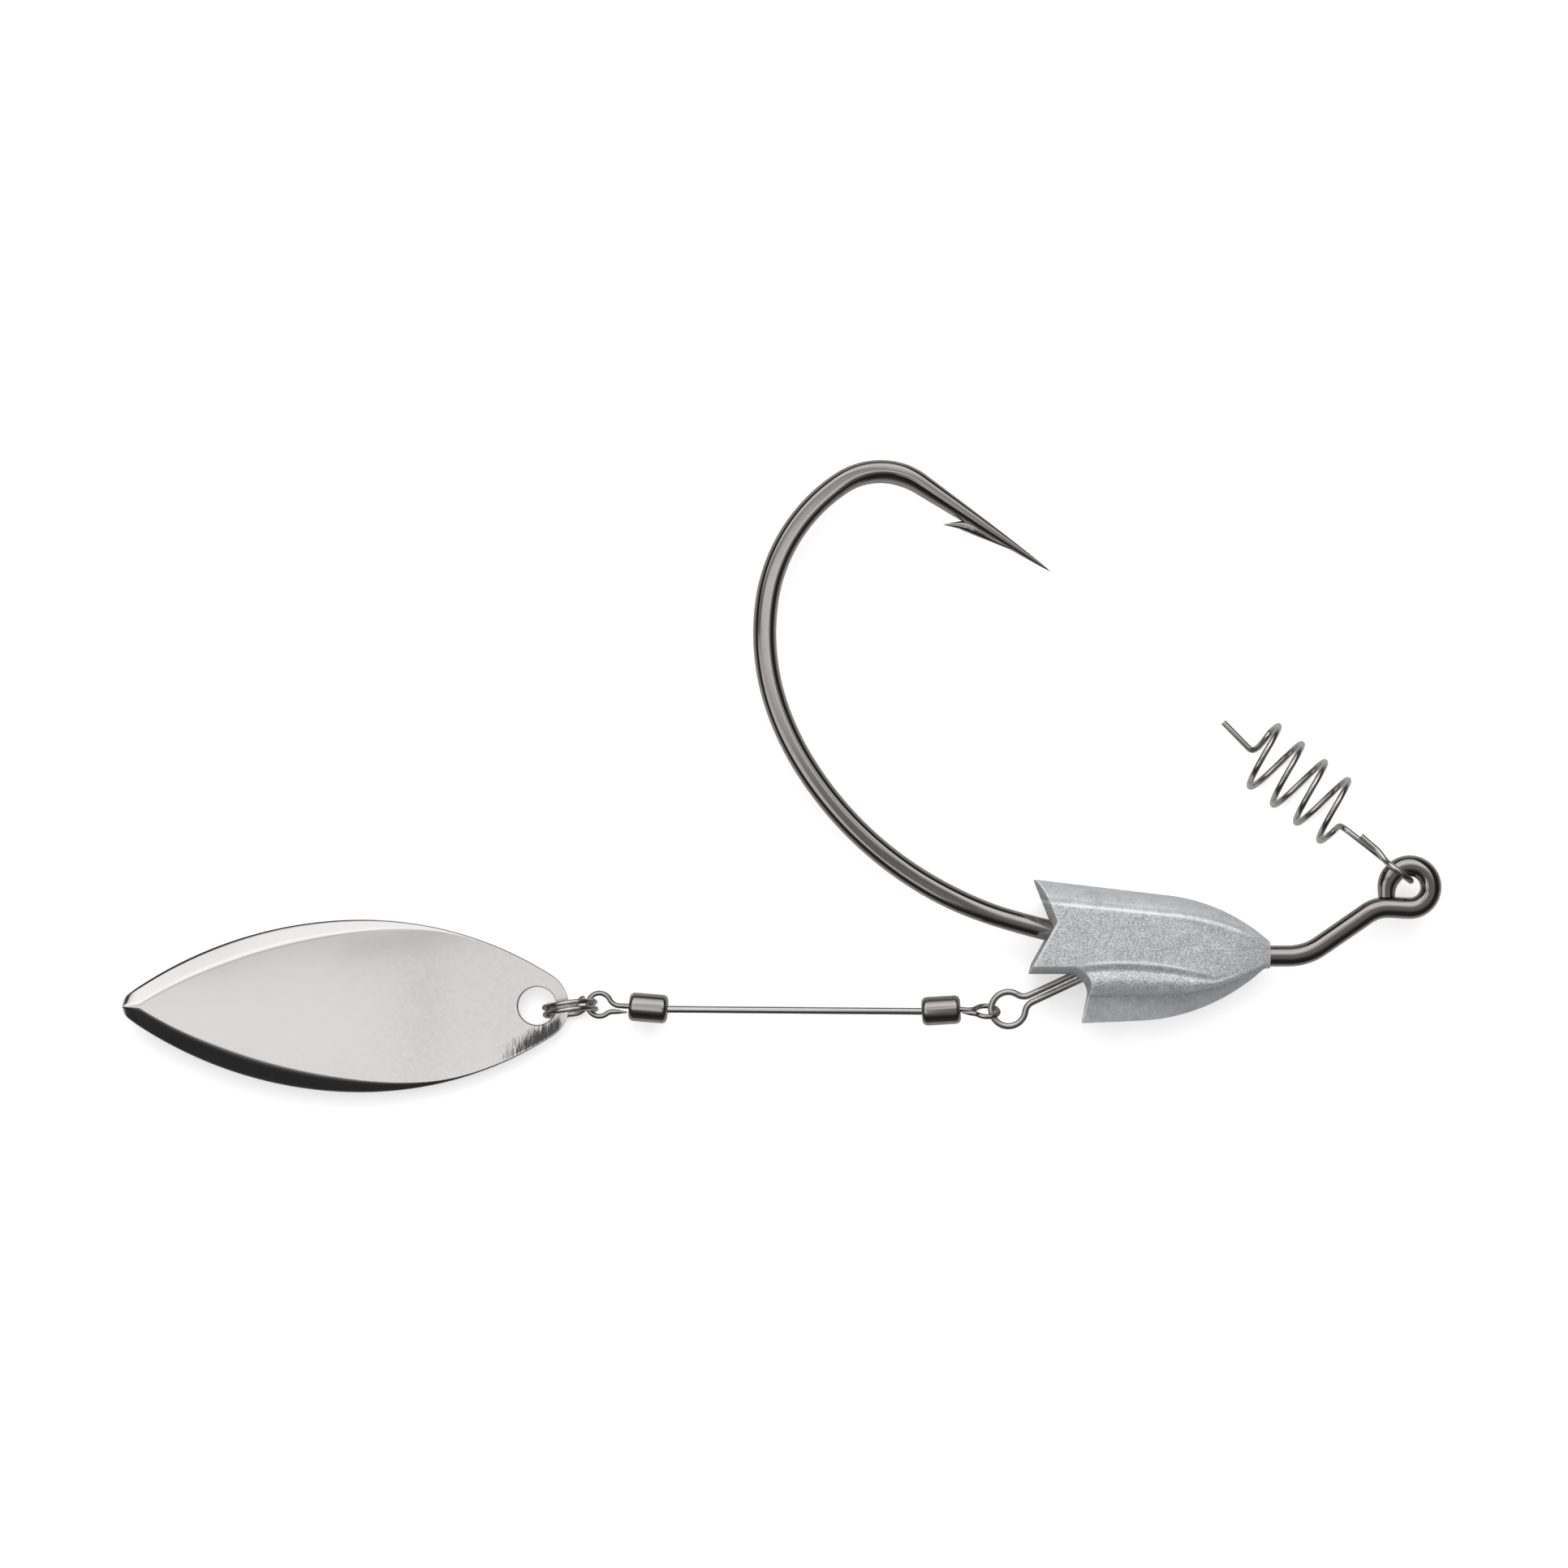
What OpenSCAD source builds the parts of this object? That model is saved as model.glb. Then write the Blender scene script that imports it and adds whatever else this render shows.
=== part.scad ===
// Weighted wide-gap lure hook with a trailing willow blade and a screw-in bait keeper.
// It lies on its flat side: +X runs forward to the line, +Y to the point side of the hook,
// +Z up. The origin is the middle of the hook's line eye. Millimetres and degrees.

/* [Hook] */
// Diameter of the hook wire
hook_wire = 1.7; // [1.4:0.05:2]
// Radius of the line eye, to the middle of its wire
eye_r = 1.7; // [1.6:0.05:2.2]
// Height of the shank's front end below the line eye
shank_drop = 5.52; // [4.6:0.02:6.4]
// Slope of the offset neck between the eye and the shank
neck_slope = 34.7; // [28:0.1:42]
// Length of straight shank between the offset bend and the weight
shank_lead = 1.47; // [0.8:0.01:3]
// Radius of the slow curve that the weight is cast on
shank_curve_r = 71.6; // [60:0.1:85]
// Radius of the wide gap's lower sweep
sweep_r = 28.7; // [26:0.1:32]
// Radius of the back of the bend
back_r = 18.3; // [17:0.1:20]
// Radius of the shoulder above the back
shoulder_r = 13.6; // [12.5:0.1:15]
// Radius of the last bend before the point
crown_r = 5.7; // [5:0.1:7]
// Width of the forged wire against the round wire
forge_spread = 1.09; // [1:0.01:1.15]
// Length of the straight point, from the last bend to the tip
point_len = 12.6; // [11:0.1:14]
// Length over which the point tapers
taper_len = 14; // [12:0.1:18]
// How far the barb stands behind the tip
barb_reach = 8.85; // [7:0.05:10]

/* [Weight] */
// Length of the cast weight
weight_len = 19.5; // [18:0.1:24]
// Thickness of the weight across its two flat panels
weight_t = 7.5; // [6.5:0.1:9]
// Height of the back of the weight above the shank
back_h = 4.84; // [4:0.02:6]
// Depth of the keel fin below the shank
keel_h = 5.18; // [4.6:0.02:6]
// Thickness of the keel fin
fin_t = 2.3; // [1.6:0.1:3]
// Width of the ridge along the back
ridge_t = 0.7; // [0.4:0.05:1.2]
// Height that the side panel stands proud of the bevel
panel_step = 0.3; // [0.1:0.05:0.5]
// Depth of the groove under the side panel
groove_depth = 0.42; // [0.1:0.02:0.6]
// Depth of the vee in the tail, from the end of the weight
vee_depth = 2.1; // [1:0.05:3]
// Distance from the end of the weight to the fin's rear edge
fin_setback = 4.85; // [4:0.05:6]
// Radius of the hollow between the tail and the fin
hollow_r = 1.6; // [1.2:0.05:2]
// Room left round a wire that the weight is cast on
cast_gap = 0.02; // [0.01:0.01:0.05]

/* [Hanger] */
// Diameter of the hanger wire
hanger_wire = 0.56; // [0.5:0.02:0.64]
// Radius of the hanger's loop, to the middle of its wire
hanger_r = 1.37; // [1.2:0.01:1.6]
// Radius of the two bends that close the loop's neck
hanger_neck_r = 1; // [0.7:0.05:1.4]
// Slope of the hanger's legs
hanger_slope = 25; // [20:1:30]
// Length of the legs outside the bend in the weight
hanger_leg = 4.9; // [4.6:0.1:5.2]
// Length of the legs' straight ends inside the weight
hanger_anchor = 4; // [2:0.1:5]

/* [Swivel arm] */
// Diameter of the straight shaft wire
shaft_wire = 0.58; // [0.5:0.02:0.7]
// Length of the shaft between its two barrels' ends
shaft_len = 20.4; // [12:0.05:40]
// Diameter of a swivel barrel
barrel_d = 2.3; // [2.1:0.05:3]
// Length of a swivel barrel
barrel_len = 3.1; // [2.8:0.05:4]
// Wall thickness of a swivel barrel
barrel_wall = 0.26; // [0.2:0.02:0.34]
// Radius rolled on a barrel's ends
barrel_round = 0.42; // [0.2:0.02:0.5]
// Diameter of the swivel eyes' wire
eye_wire = 0.46; // [0.4:0.02:0.5]
// Radius of a swivel eye's loop, to the middle of its wire
loop_r = 0.93; // [0.9:0.01:1.1]
// Radius of the bends between a loop and its stem
loop_neck_r = 0.9; // [0.7:0.05:1.3]
// Straight stem between the front loop's bends and its barrel
front_stem = 0.5; // [0.4:0.02:1]
// Straight stem between the rear loop's bends and its barrel
rear_stem = 0.8; // [0.4:0.02:1.2]
// Diameter of the upset heads inside the barrels
head_d = 1.15; // [0.95:0.05:1.3]
// Length of the upset heads
head_len = 0.5; // [0.3:0.05:0.6]
// Running clearance of the wires in the barrels, on the radius
run_gap = 0.06; // [0.04:0.01:0.09]
// Play between linked wires
link_gap = 0.04; // [0.03:0.01:0.1]
// Turn of the front eye about the arm
front_eye_roll = 26; // [0:1:35]

/* [Split ring] */
// Diameter of the split ring's wire
ring_wire = 0.46; // [0.4:0.02:0.5]
// Outer diameter of the split ring
ring_d = 4.55; // [4.2:0.05:5.5]
// Space between the two coils of the ring
coil_gap = 0.1; // [0.08:0.01:0.16]
// Lean of the ring across the arm
ring_lean = 7; // [0:0.5:10]
// Turn of the ring out of line with the rear eye
ring_yaw = 10; // [0:0.5:14]

/* [Blade] */
// Length of the willow blade
blade_len = 35.8; // [30:0.1:45]
// Greatest width of the blade
blade_w = 13.86; // [12:0.02:15]
// Distance from the front end to the widest place
blade_wide_at = 16.6; // [15:0.1:18]
// Radius of the rounded front end
front_end_r = 2.9; // [2.6:0.05:4]
// Radius of the rounded tail tip
tail_end_r = 1.3; // [0.8:0.05:2.4]
// Thickness of the blade's sheet
blade_t = 0.5; // [0.4:0.02:0.6]
// Crown of the blade across its width
blade_crown = 0.4; // [0.2:0.05:1.2]
// Height of the bevelled rim at the tail half
rim_rise = 0.65; // [0.4:0.05:1.2]
// Width of the bevelled rim
rim_w = 1.45; // [1:0.05:2]
// Diameter of the hole for the split ring
hole_d = 3; // [2.9:0.05:3.4]
// Metal left in front of the hole
hole_edge = 1.1; // [0.9:0.05:1.3]
// Height of the blade's front end above its tail
blade_lift = 1.3; // [1.1:0.05:1.5]

/* [Bait keeper] */
// Diameter of the keeper wire
keeper_wire = 0.5; // [0.4:0.02:0.56]
// Direction of the keeper from the line eye
keeper_dir = 142; // [138:0.5:146]
// Radius of the keeper's loop, to the middle of its wire
keeper_loop_r = 1.4; // [1.35:0.01:1.6]
// Length from the loop's middle to the coil
keeper_leg = 6.37; // [5.8:0.01:8]
// Radius of the screw coil, to the middle of its wire
coil_r = 2.62; // [2.2:0.02:3]
// Advance of the screw coil in each turn
coil_pitch = 2.35; // [1.8:0.05:3]
// Whole turns of the screw coil
coil_turns = 3.5; // [2.5:1:5.5]
// Sideways shift of the coil's axis from the leg
coil_shift = 0.62; // [0.4:0.02:1]
// Length of the centring pin beyond the coil
pin_len = 3; // [2:0.1:4]
// Droop of the keeper from the line eye
keeper_droop = 4; // [0:0.5:5]

/* [Hidden] */
$fn = 48;

// ---- Paths: a list of straights [length, 0] and arcs [radius, turn], left turns positive ----

// A place carried round an arc whose middle is r to its left
function swung(p, r, turn) =
    let (h = p[2] + turn)
    [p[0] + r*(sin(h) - sin(p[2])), p[1] - r*(cos(h) - cos(p[2])), h, p[3] + r*turn*PI/180];

// Place, heading and run at the end of one piece of a path
function onward(p, s) = s[1] == 0
    ? [p[0] + s[0]*cos(p[2]), p[1] + s[0]*sin(p[2]), p[2], p[3] + s[0]]
    : swung(p, s[0]*sign(s[1]), s[1]);

// Place at the start of each piece of a path, and at its end
function corners(p, segs, i = 0) = i == len(segs) ? [p]
    : concat([p], corners(onward(p, segs[i]), segs, i + 1));

// Places along a path: chords stay within a small sag of each arc
chord_sag = 0.008;
function cuts(s) = s[1] == 0 ? 1 : ceil(abs(s[1])/(2*acos(1 - chord_sag/s[0])));
function places(p, segs) =
    let (ends = corners(p, segs))
    concat([p], [for (i = [0:len(segs) - 1])
        let (s = segs[i], n = cuts(s))
        for (k = [1:n]) onward(ends[i], s[1] == 0 ? s : [s[0], s[1]*k/n])]);

function last(list) = list[len(list) - 1];
function unit(v) = v/norm(v);
function clamp(v, low, high) = max(low, min(high, v));
function ease(v) = let (t = clamp(v, 0, 1)) t*t*(3 - 2*t);

// One arc of a round wire, as a true ring segment
module bow(p, seg, d) {
    side = sign(seg[1]);
    translate([p[0] - side*seg[0]*sin(p[2]), p[1] + side*seg[0]*cos(p[2]), 0])
        rotate([0, 0, side > 0 ? p[2] - 90 : p[2] + seg[1] + 90])
            rotate_extrude(angle = abs(seg[1]))
                translate([seg[0], 0])
                    circle(d = d);
}

// A round wire swept along places on a flat path; its facets lie just outside the round
wire_sides = 16;
facet_out = 1.03;
function disc(r) = [for (j = [0:wire_sides - 1])
    r*facet_out*[cos(360*j/wire_sides), sin(360*j/wire_sides)]];
module bent_wire(at, r) {
    skin([for (i = [0:len(at) - 1]) stand(at[i], disc(is_list(r) ? r[i] : r))]);
}

// A place moved on a short lap round an arc, or back with way = -1
lap = 0.12;
function lapped(p, r, way = 1) = swung(p, r, way*lap/r*180/PI);

// A closed skin over a row of rings, each with the same number of points and running
// anticlockwise as seen from the next ring
module skin(rings) {
    n = len(rings[0]);
    m = len(rings);
    function middle(r) = [for (k = [0:2]) [for (q = r) q[k]] * [for (q = r) 1/n]];
    polyhedron(
        points = concat([for (r = rings) each r], [middle(rings[0]), middle(last(rings))]),
        faces = concat(
            [for (i = [0:m - 2], j = [0:n - 1])
                each [[i*n + j, (i + 1)*n + (j + 1)%n, i*n + (j + 1)%n],
                      [i*n + j, (i + 1)*n + j, (i + 1)*n + (j + 1)%n]]],
            [for (j = [0:n - 1]) [m*n, j, (j + 1)%n]],
            [for (j = [0:n - 1]) [m*n + 1, (m - 1)*n + (j + 1)%n, (m - 1)*n + j]]));
}

// Rings of a round wire carried along points in space without twisting
function wire_rings(pts, d, sides) =
    let (n = len(pts),
         tan = [for (i = [0:n - 1]) unit(pts[min(i + 1, n - 1)] - pts[max(i - 1, 0)])],
         seed = unit(cross(tan[0], abs(tan[0].z) < 0.9 ? [0, 0, 1] : [0, 1, 0])))
    [for (i = 0, u = seed; i < n;
          i = i + 1, u = i < n ? unit(u - (u*tan[i])*tan[i]) : u)
        let (v = cross(tan[i], u))
        [for (j = [0:sides - 1]) pts[i] + d/2*(cos(360*j/sides)*u + sin(360*j/sides)*v)]];

// A smooth blend between two points with a heading at each
function blend(p, pd, q, qd, n) = [for (i = [1:n - 1])
    let (t = i/n, s = 1 - t)
    s*s*s*p + 3*s*s*t*(p + pd) + 3*s*t*t*(q - qd) + t*t*t*q];

// ---- Hook ----

// The eye's free end is bent a little wider than the ring and comes back on the neck
eye_open_r = eye_r + 0.3;
eye_open_turn = 60;
eye_back_turn = 213;
neck_lead = 1.5;
neck_r = 3;
offset_r = 4.5;
neck_turn = neck_slope + eye_open_turn + eye_back_turn - 270;
eye_end_lift = 0.44;
open_mid = (eye_r - eye_open_r)*[cos(180 - eye_open_turn), sin(180 - eye_open_turn)];
eye_start = [open_mid.x - eye_open_r, open_mid.y - eye_end_lift, 90, 0];
open_path = [[eye_end_lift, 0], [eye_open_r, -eye_open_turn]];
ring_start_place = last(corners(eye_start, open_path));
ring_end_place = onward(ring_start_place, [eye_r, -eye_back_turn]);
neck_path = [[neck_lead, 0], [neck_r, neck_turn]];
neck_end = last(corners(ring_end_place, neck_path));
slope_len = (neck_end[1] + shank_drop - offset_r*(1 - cos(neck_slope)))/sin(neck_slope);
curve_inset = 0.72;
offset_end = last(corners(neck_end, [[slope_len, 0], [offset_r, -neck_slope]]));
shank_turn = 16.5;
shank_path = [[shank_lead + curve_inset, 0], [shank_curve_r, -shank_turn]];
sweep_turn = 42;
heel_r = 22.5;
heel_turn = 12.7;
back_turn = 26.8;
shoulder_turn = 48.4;
crown_turn = 67.6;
bend_path = [[sweep_r, -sweep_turn], [heel_r, -heel_turn], [back_r, -back_turn],
             [shoulder_r, -shoulder_turn], [crown_r, -crown_turn]];
body_path = concat(neck_path, [[slope_len, 0], [offset_r, -neck_slope]], shank_path, bend_path);
body_places = places(ring_end_place, body_path);
point_root = last(body_places);
point_cuts = 14;
point_places = [for (k = [1:point_cuts])
    onward(point_root, [point_len*(1 - pow(1 - k/point_cuts, 1.4)), 0])];
tip = last(point_places);
body_run = tip[3];

// Cross-section of the hook: round, with two flats forged on its sides as flat goes to 1
forge_edge = 60;
forge_step = 20;
function forged(r, flat) = [for (a = [-forge_edge:forge_step:359 - forge_edge])
    let (z = sin(a), cap = sin(forge_edge))
    r*facet_out*[cos(a), abs(z) > cap ? sign(z)*(cap*flat + abs(z)*(1 - flat)) : z]];

function stand(p, ring) = [for (q = ring)
    [p[0] - q[0]*sin(p[2]), p[1] + q[0]*cos(p[2]), q[1]]];

// The bend is forged flat from behind the weight to the point
forge_fade = 6;
shank_end = last(corners(offset_end, shank_path))[3];
function forging(p) = ease((p[3] - shank_end)/forge_fade);
function hook_radius(p) =
    let (back = max(body_run - p[3], 0.02))
    hook_wire/2*(1 + (forge_spread - 1)*forging(p))*min(1, pow(back/taper_len, 0.72));

module hook() {
    color("#3d3b3a") {
        bow(ring_start_place, [eye_r, -eye_back_turn], hook_wire);
        skin([for (p = concat(places(eye_start, open_path), [lapped(ring_start_place, -eye_r)]))
            stand(p, forged(hook_wire/2*(0.8 + 0.2*ease(p[3]/1.8)), 0))]);
        skin([for (p = concat([lapped(ring_end_place, -eye_r, -1)], body_places, point_places))
            stand(p, forged(hook_radius(p), forging(p)))]);
        barb();
    }
}

// The barb: a sliver raised from the inner side of the point
barb_start = 2.2;
barb_lean = 7;
barb_len = 4.2;
barb_lift_r = 4;
barb_lift = 25;
barb_out = barb_reach - 8;
module barb() {
    foot = onward([tip[0], tip[1], tip[2] + 180, 0], [barb_start, 0]);
    start = [foot[0], foot[1], foot[2] + barb_lean, 0];
    root = onward(start, [barb_len, 0]);
    lifted = onward(root, [barb_lift_r, barb_lift]);
    run = concat([for (k = [0:5]) onward(start, [barb_len*k/5.25, 0])],
                 [for (k = [1:5]) onward(root, [barb_lift_r, barb_lift*k/5])],
                 [for (k = [1:2]) onward(lifted, [barb_out*k/2, 0])]);
    reach = last(run)[3];
    skin([for (p = run)
        stand(p, forged(min(0.12 + 0.09*p[3], 0.32, 0.02 + 0.17*(reach - p[3])), 0))]);
}

// ---- Weight ----

weight_nose = [offset_end[0] - shank_lead, -shank_drop];

// Height of a long curve at a distance behind the nose; fair holds the place where its
// straight run ends, the slope of the run, and the radius of the arc down to the nose
function ogive(back, height, fair) =
    let (run = fair[0], rise = fair[1], r = fair[2])
    back > run ? height + rise*(back - run)
    : height - rise*(run - back) - (r - sqrt(r*r - (run - back)^2));

half_t = weight_t/2;
nose_wall = 0.15;
nose_h = hook_wire/2 + nose_wall;
crease_drop = 1.39;
fin_h = 2.04;
back_fair = [8, 0.119, 13];
crease_fair = [8, 0.1, 19];
side_fair = [9, 0, 16.6];
valley_fair = [9.2, 0, 17];
keel_fair = [10.4, 0.043, 15];
function back_line(s) = max(nose_h, ogive(s, back_h, back_fair));
function crease_line(s) = max(0.6, ogive(s, back_h - crease_drop, crease_fair));
function side_line(s) = max(nose_h, ogive(s, half_t, side_fair));
function valley_line(s) = max(0.7, ogive(s, keel_h - fin_h, valley_fair));
function keel_line(s) = max(nose_h, ogive(s, keel_h, keel_fair));
function border_line(s) = min(0.7 + 0.02*(s - 12)^2, valley_line(s)*0.7);

// Half of the weight's cross-section, from the ridge down to the fin: [height, half thickness]
function weight_half(s) =
    let (top = back_line(s), crease = crease_line(s), side = side_line(s),
         low = border_line(s), valley = valley_line(s), foot = keel_line(s),
         grow = clamp((s - 1)/5, 0, 1),
         step = panel_step*grow,
         groove = groove_depth*clamp((s - 3)/4, 0, 1),
         ridge = ridge_t/2,
         fin = min(fin_t/2, side*0.9),
         crest = low + 0.42*(valley - low),
         swell = side - groove*0.45)
    concat(
        [for (a = [0:17:85]) [crease + (top - crease)*cos(a), ridge + (side - step - ridge)*sin(a)]],
        [[crease - 0.08*grow, side - 0.06*grow], [crease - 0.3*grow - 0.02, side],
         [(crease - low)/2, side], [-low + 0.18, side], [-low, side - 0.1*grow],
         [-low - 0.16*(valley - low), side - groove]],
        [for (a = [0:18:90])
            [-crest - (valley - crest)*sin(a), fin + (swell - fin)*cos(a)]],
        [for (a = [15:25:90])
            [-valley - (foot - valley)*(1 - cos(a))/(1 - cos(90)), fin*(0.25 + 0.7*cos(a))]]);

function weight_ring(s) =
    let (half = weight_half(s), n = len(half), x = weight_nose.x - s)
    [for (i = [0:2*n - 1])
        let (q = i < n ? half[i] : half[2*n - 1 - i])
        [x, weight_nose.y + q[0], i < n ? -q[1] : q[1]]];

// A cutter with sides that lean back from the parting line on both faces of the weight
tail_draft = [0.3, 0.65];
module drafted_cutter(outline) {
    reach = half_t + 0.5;
    skin([for (side = [-1:1])
        [for (q = outline)
            [q.x + tail_draft.x*abs(side)*reach/half_t,
             q.y + tail_draft.y*abs(side)*reach/half_t, side*reach]]]);
}

tail_x = weight_nose.x - weight_len;
vee_up = 21.8;
vee_down = 29;
vee_rise = 2.15;
vee_reach = 12;
vee_apex = [tail_x + vee_depth, weight_nose.y + vee_rise];
vee_outline = [vee_apex, vee_apex + vee_reach*[-sin(vee_up), cos(vee_up)],
               vee_apex + vee_reach*[-3, cos(vee_up)], vee_apex + vee_reach*[-3, -cos(vee_down)],
               vee_apex + vee_reach*[-sin(vee_down), -cos(vee_down)]];
tab_drop = 1.45;
tab_under = weight_nose.y - tab_drop;
hollow_mid = [tail_x + fin_setback - hollow_r, tab_under - hollow_r];
hollow_outline = concat(
    [[tail_x - 6, weight_nose.y - keel_h - 1],
     [hollow_mid.x + hollow_r - 0.6, weight_nose.y - keel_h - 1]],
    [for (a = [0:15:90]) hollow_mid + hollow_r*[cos(a), sin(a)]],
    [[tail_x - 6, tab_under]]);

// Cross-sections along the weight, close together in the nose, as shares of its length
weight_cuts = concat([0, 0.02], [for (k = [1:7]) 0.05*k], [for (k = [4:9]) 0.1*k + 0.03], [1.03]);

module keel_weight() {
    color("#b4b5b7") difference() {
        skin([for (share = weight_cuts) weight_ring(share*weight_len)]);
        drafted_cutter(vee_outline);
        drafted_cutter(hollow_outline);
        bent_wire(places(offset_end, shank_path), channel_r(hook_wire));
        for (side = [-1, 1])
            bent_wire(leg_places(side, 0.3), channel_r(hanger_wire));
    }
}

function channel_r(d) = (d/2 + cast_gap)/cos(180/wire_sides);

// ---- Hanger ----

leg_offset = hanger_wire/2 + 0.02;
neck_span = hanger_neck_r + hanger_r;
neck_turn_in = acos((leg_offset + hanger_neck_r)/neck_span);
hanger_mid = [tail_x - 1.45, weight_nose.y - 4.26];
leg_root = hanger_mid + neck_span*sin(neck_turn_in)*[cos(hanger_slope), sin(hanger_slope)];

function leg_start(side) = [leg_root.x - side*leg_offset*sin(hanger_slope),
                            leg_root.y + side*leg_offset*cos(hanger_slope), hanger_slope, 0];
function leg_places(side, extra = 0) = places(leg_start(side),
    [[hanger_leg, 0], [1.5 + side*leg_offset, -(hanger_slope + 4)], [hanger_anchor + extra, 0]]);
function neck_places(side) =
    let (p = leg_start(side),
         turned = places([p[0], p[1], p[2] + 180, 0], [[hanger_neck_r, -side*neck_turn_in]]))
    concat(turned, [lapped(last(turned), side*hanger_r)]);
function backward(list) = [for (i = [len(list) - 1:-1:0])
    [list[i][0], list[i][1], list[i][2] + 180, 0]];

module hanger_loop() {
    color("#c9c7c4") {
        bow(last(places(backward([leg_start(-1)])[0], [[hanger_neck_r, neck_turn_in]])),
            [hanger_r, -180 - 2*neck_turn_in], hanger_wire);
        for (side = [-1, 1]) {
            neck = backward(neck_places(side));
            bent_wire(concat([for (i = [0:len(neck) - 2]) neck[i]], leg_places(side)), hanger_wire/2);
        }
    }
}

// ---- Swivel arm: five pieces in a row, each with its own small sway ----

floor_z = -half_t;
eye_tail = eye_wire + 0.03;
eye_span = loop_neck_r + loop_r;
stem_bend = acos(loop_neck_r/eye_span);
tail_bend = acos((loop_neck_r + eye_tail)/eye_span);
eye_neck = eye_span*sin(stem_bend);
head_play = 0.12;
tail_room = 0.15;
stem_inside = barrel_wall/2 + head_play;
link_reach = hanger_wire/2 + eye_wire/2 + link_gap;
front_neck = loop_r - link_reach + eye_neck;
rear_neck = barrel_wall/2 + rear_stem;
ring_r = (ring_d - ring_wire)/2;
coil_offset = (ring_wire + coil_gap)/2;
ring_bite = sqrt((loop_r - eye_wire/2 - ring_wire/2 - link_gap)^2 - coil_offset^2);

// Length and heading of each piece: front eye, front barrel, shaft, rear barrel, rear eye
arm_pieces = [[front_neck + front_stem + barrel_wall/2, 176], [barrel_len - barrel_wall, 183.4],
              [shaft_len + barrel_wall, 179.6], [barrel_len - barrel_wall, 175.3],
              [rear_neck + eye_neck, 177]];
arm_start = [hanger_mid.x - hanger_r, hanger_mid.y - 0.2, 0];
ring_z = floor_z + ring_r*cos(ring_lean) + ring_wire/2 + coil_offset*sin(ring_lean);
arm_fall = asin(-ring_z/([for (p = arm_pieces) p[0]]*[1, 1, 1, 1, 1]));
function arm_point(k) = k == 0 ? arm_start
    : arm_point(k - 1) + arm_pieces[k - 1][0]*[cos(arm_fall)*cos(arm_pieces[k - 1][1]),
                                               cos(arm_fall)*sin(arm_pieces[k - 1][1]),
                                               -sin(arm_fall)];

// Puts a piece that runs along +X at its place on the arm
module on_arm(k) {
    translate(arm_point(k)) rotate([0, arm_fall, arm_pieces[k][1]]) children();
}

// A straight stem that runs into an upset head at its near end
module headed_stem(length, d) {
    rotate([0, 90, 0]) cylinder(d = d, h = length);
    rotate([0, 90, 0]) cylinder(d = head_d, h = head_len);
}

// A swivel eye: a stem from inside the barrel up to its first bend at x = 0, a loop round
// the stem's line, and a tapered tail that comes back beside the stem
module eye(outside) {
    inside = outside + barrel_wall/2 + stem_inside;
    neck = places([0, 0, 0, 0], [[loop_neck_r, stem_bend]]);
    loop_end = onward(last(neck), [loop_r, -180 - stem_bend - tail_bend]);
    tail_run = eye_neck - eye_span*sin(tail_bend) + outside - tail_room;
    tail = concat([lapped(loop_end, -loop_r, -1)],
                  places(loop_end, [[loop_neck_r, tail_bend], [tail_run, 0]]));
    translate([-inside - head_len, 0, 0]) headed_stem(inside + head_len, eye_wire);
    bent_wire(concat([[-lap, 0, 0, 0]], neck, [lapped(last(neck), -loop_r)]), eye_wire/2);
    bow(last(neck), [loop_r, -180 - stem_bend - tail_bend], eye_wire);
    bent_wire(tail, [for (i = [0:len(tail) - 1]) i < len(tail) - 1 ? eye_wire/2 : eye_wire/5]);
}

module front_eye() {
    color("#55524f") on_arm(0)
        translate([front_neck, 0, 0])
            rotate([90 - front_eye_roll, 0, 0])
                rotate([0, 0, 180])
                    eye(front_stem);
}

module rear_eye() {
    color("#55524f") on_arm(4)
        translate([rear_neck, 0, 0])
            rotate([180, 0, 0])
                eye(rear_stem);
}

// A rolled barrel: its middle of each end wall is at x = 0 and at the far end
module barrel(near_wire, far_wire) {
    near = near_wire/2 + run_gap;
    far = far_wire/2 + run_gap;
    out = barrel_d/2;
    cave = out - barrel_wall;
    translate([-barrel_wall/2, 0, 0]) rotate([0, 90, 0])
        rotate_extrude()
            polygon(concat(
                [[near, 0]],
                [for (a = [0:15:90]) [out - barrel_round*(1 - sin(a)), barrel_round*(1 - cos(a))]],
                [for (a = [90:-15:0])
                    [out - barrel_round*(1 - sin(a)), barrel_len - barrel_round*(1 - cos(a))]],
                [[far, barrel_len], [far, barrel_len - barrel_wall],
                 [cave, barrel_len - barrel_wall], [cave, barrel_wall], [near, barrel_wall]]));
}

module front_barrel() {
    color("#45423f") on_arm(1) barrel(eye_wire, shaft_wire);
}

module rear_barrel() {
    color("#45423f") on_arm(3) barrel(shaft_wire, eye_wire);
}

module shaft() {
    span = arm_pieces[2][0] + 2*stem_inside;
    color("#bfbdba") on_arm(2) {
        translate([-stem_inside - head_len, 0, 0]) headed_stem(span/2 + head_len, shaft_wire);
        translate([span - stem_inside + head_len, 0, 0]) rotate([0, 0, 180])
            headed_stem(span/2 + head_len + 0.01, shaft_wire);
    }
}

// ---- Split ring: two flat coils with a jog between them ----

eye_mid = arm_point(5);
ring_heading = arm_pieces[4][1] + ring_yaw;
ring_mid = eye_mid + (ring_bite + ring_r)*[cos(ring_heading), sin(ring_heading), 0];
ring_start = 236;
ring_sweep = 700;
ring_flare = 0.28;

function ring_side(turn) = coil_offset*(1 - 2*ease((turn - 335)/50))
    + ring_flare*(1 - ease(turn/28));

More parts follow.
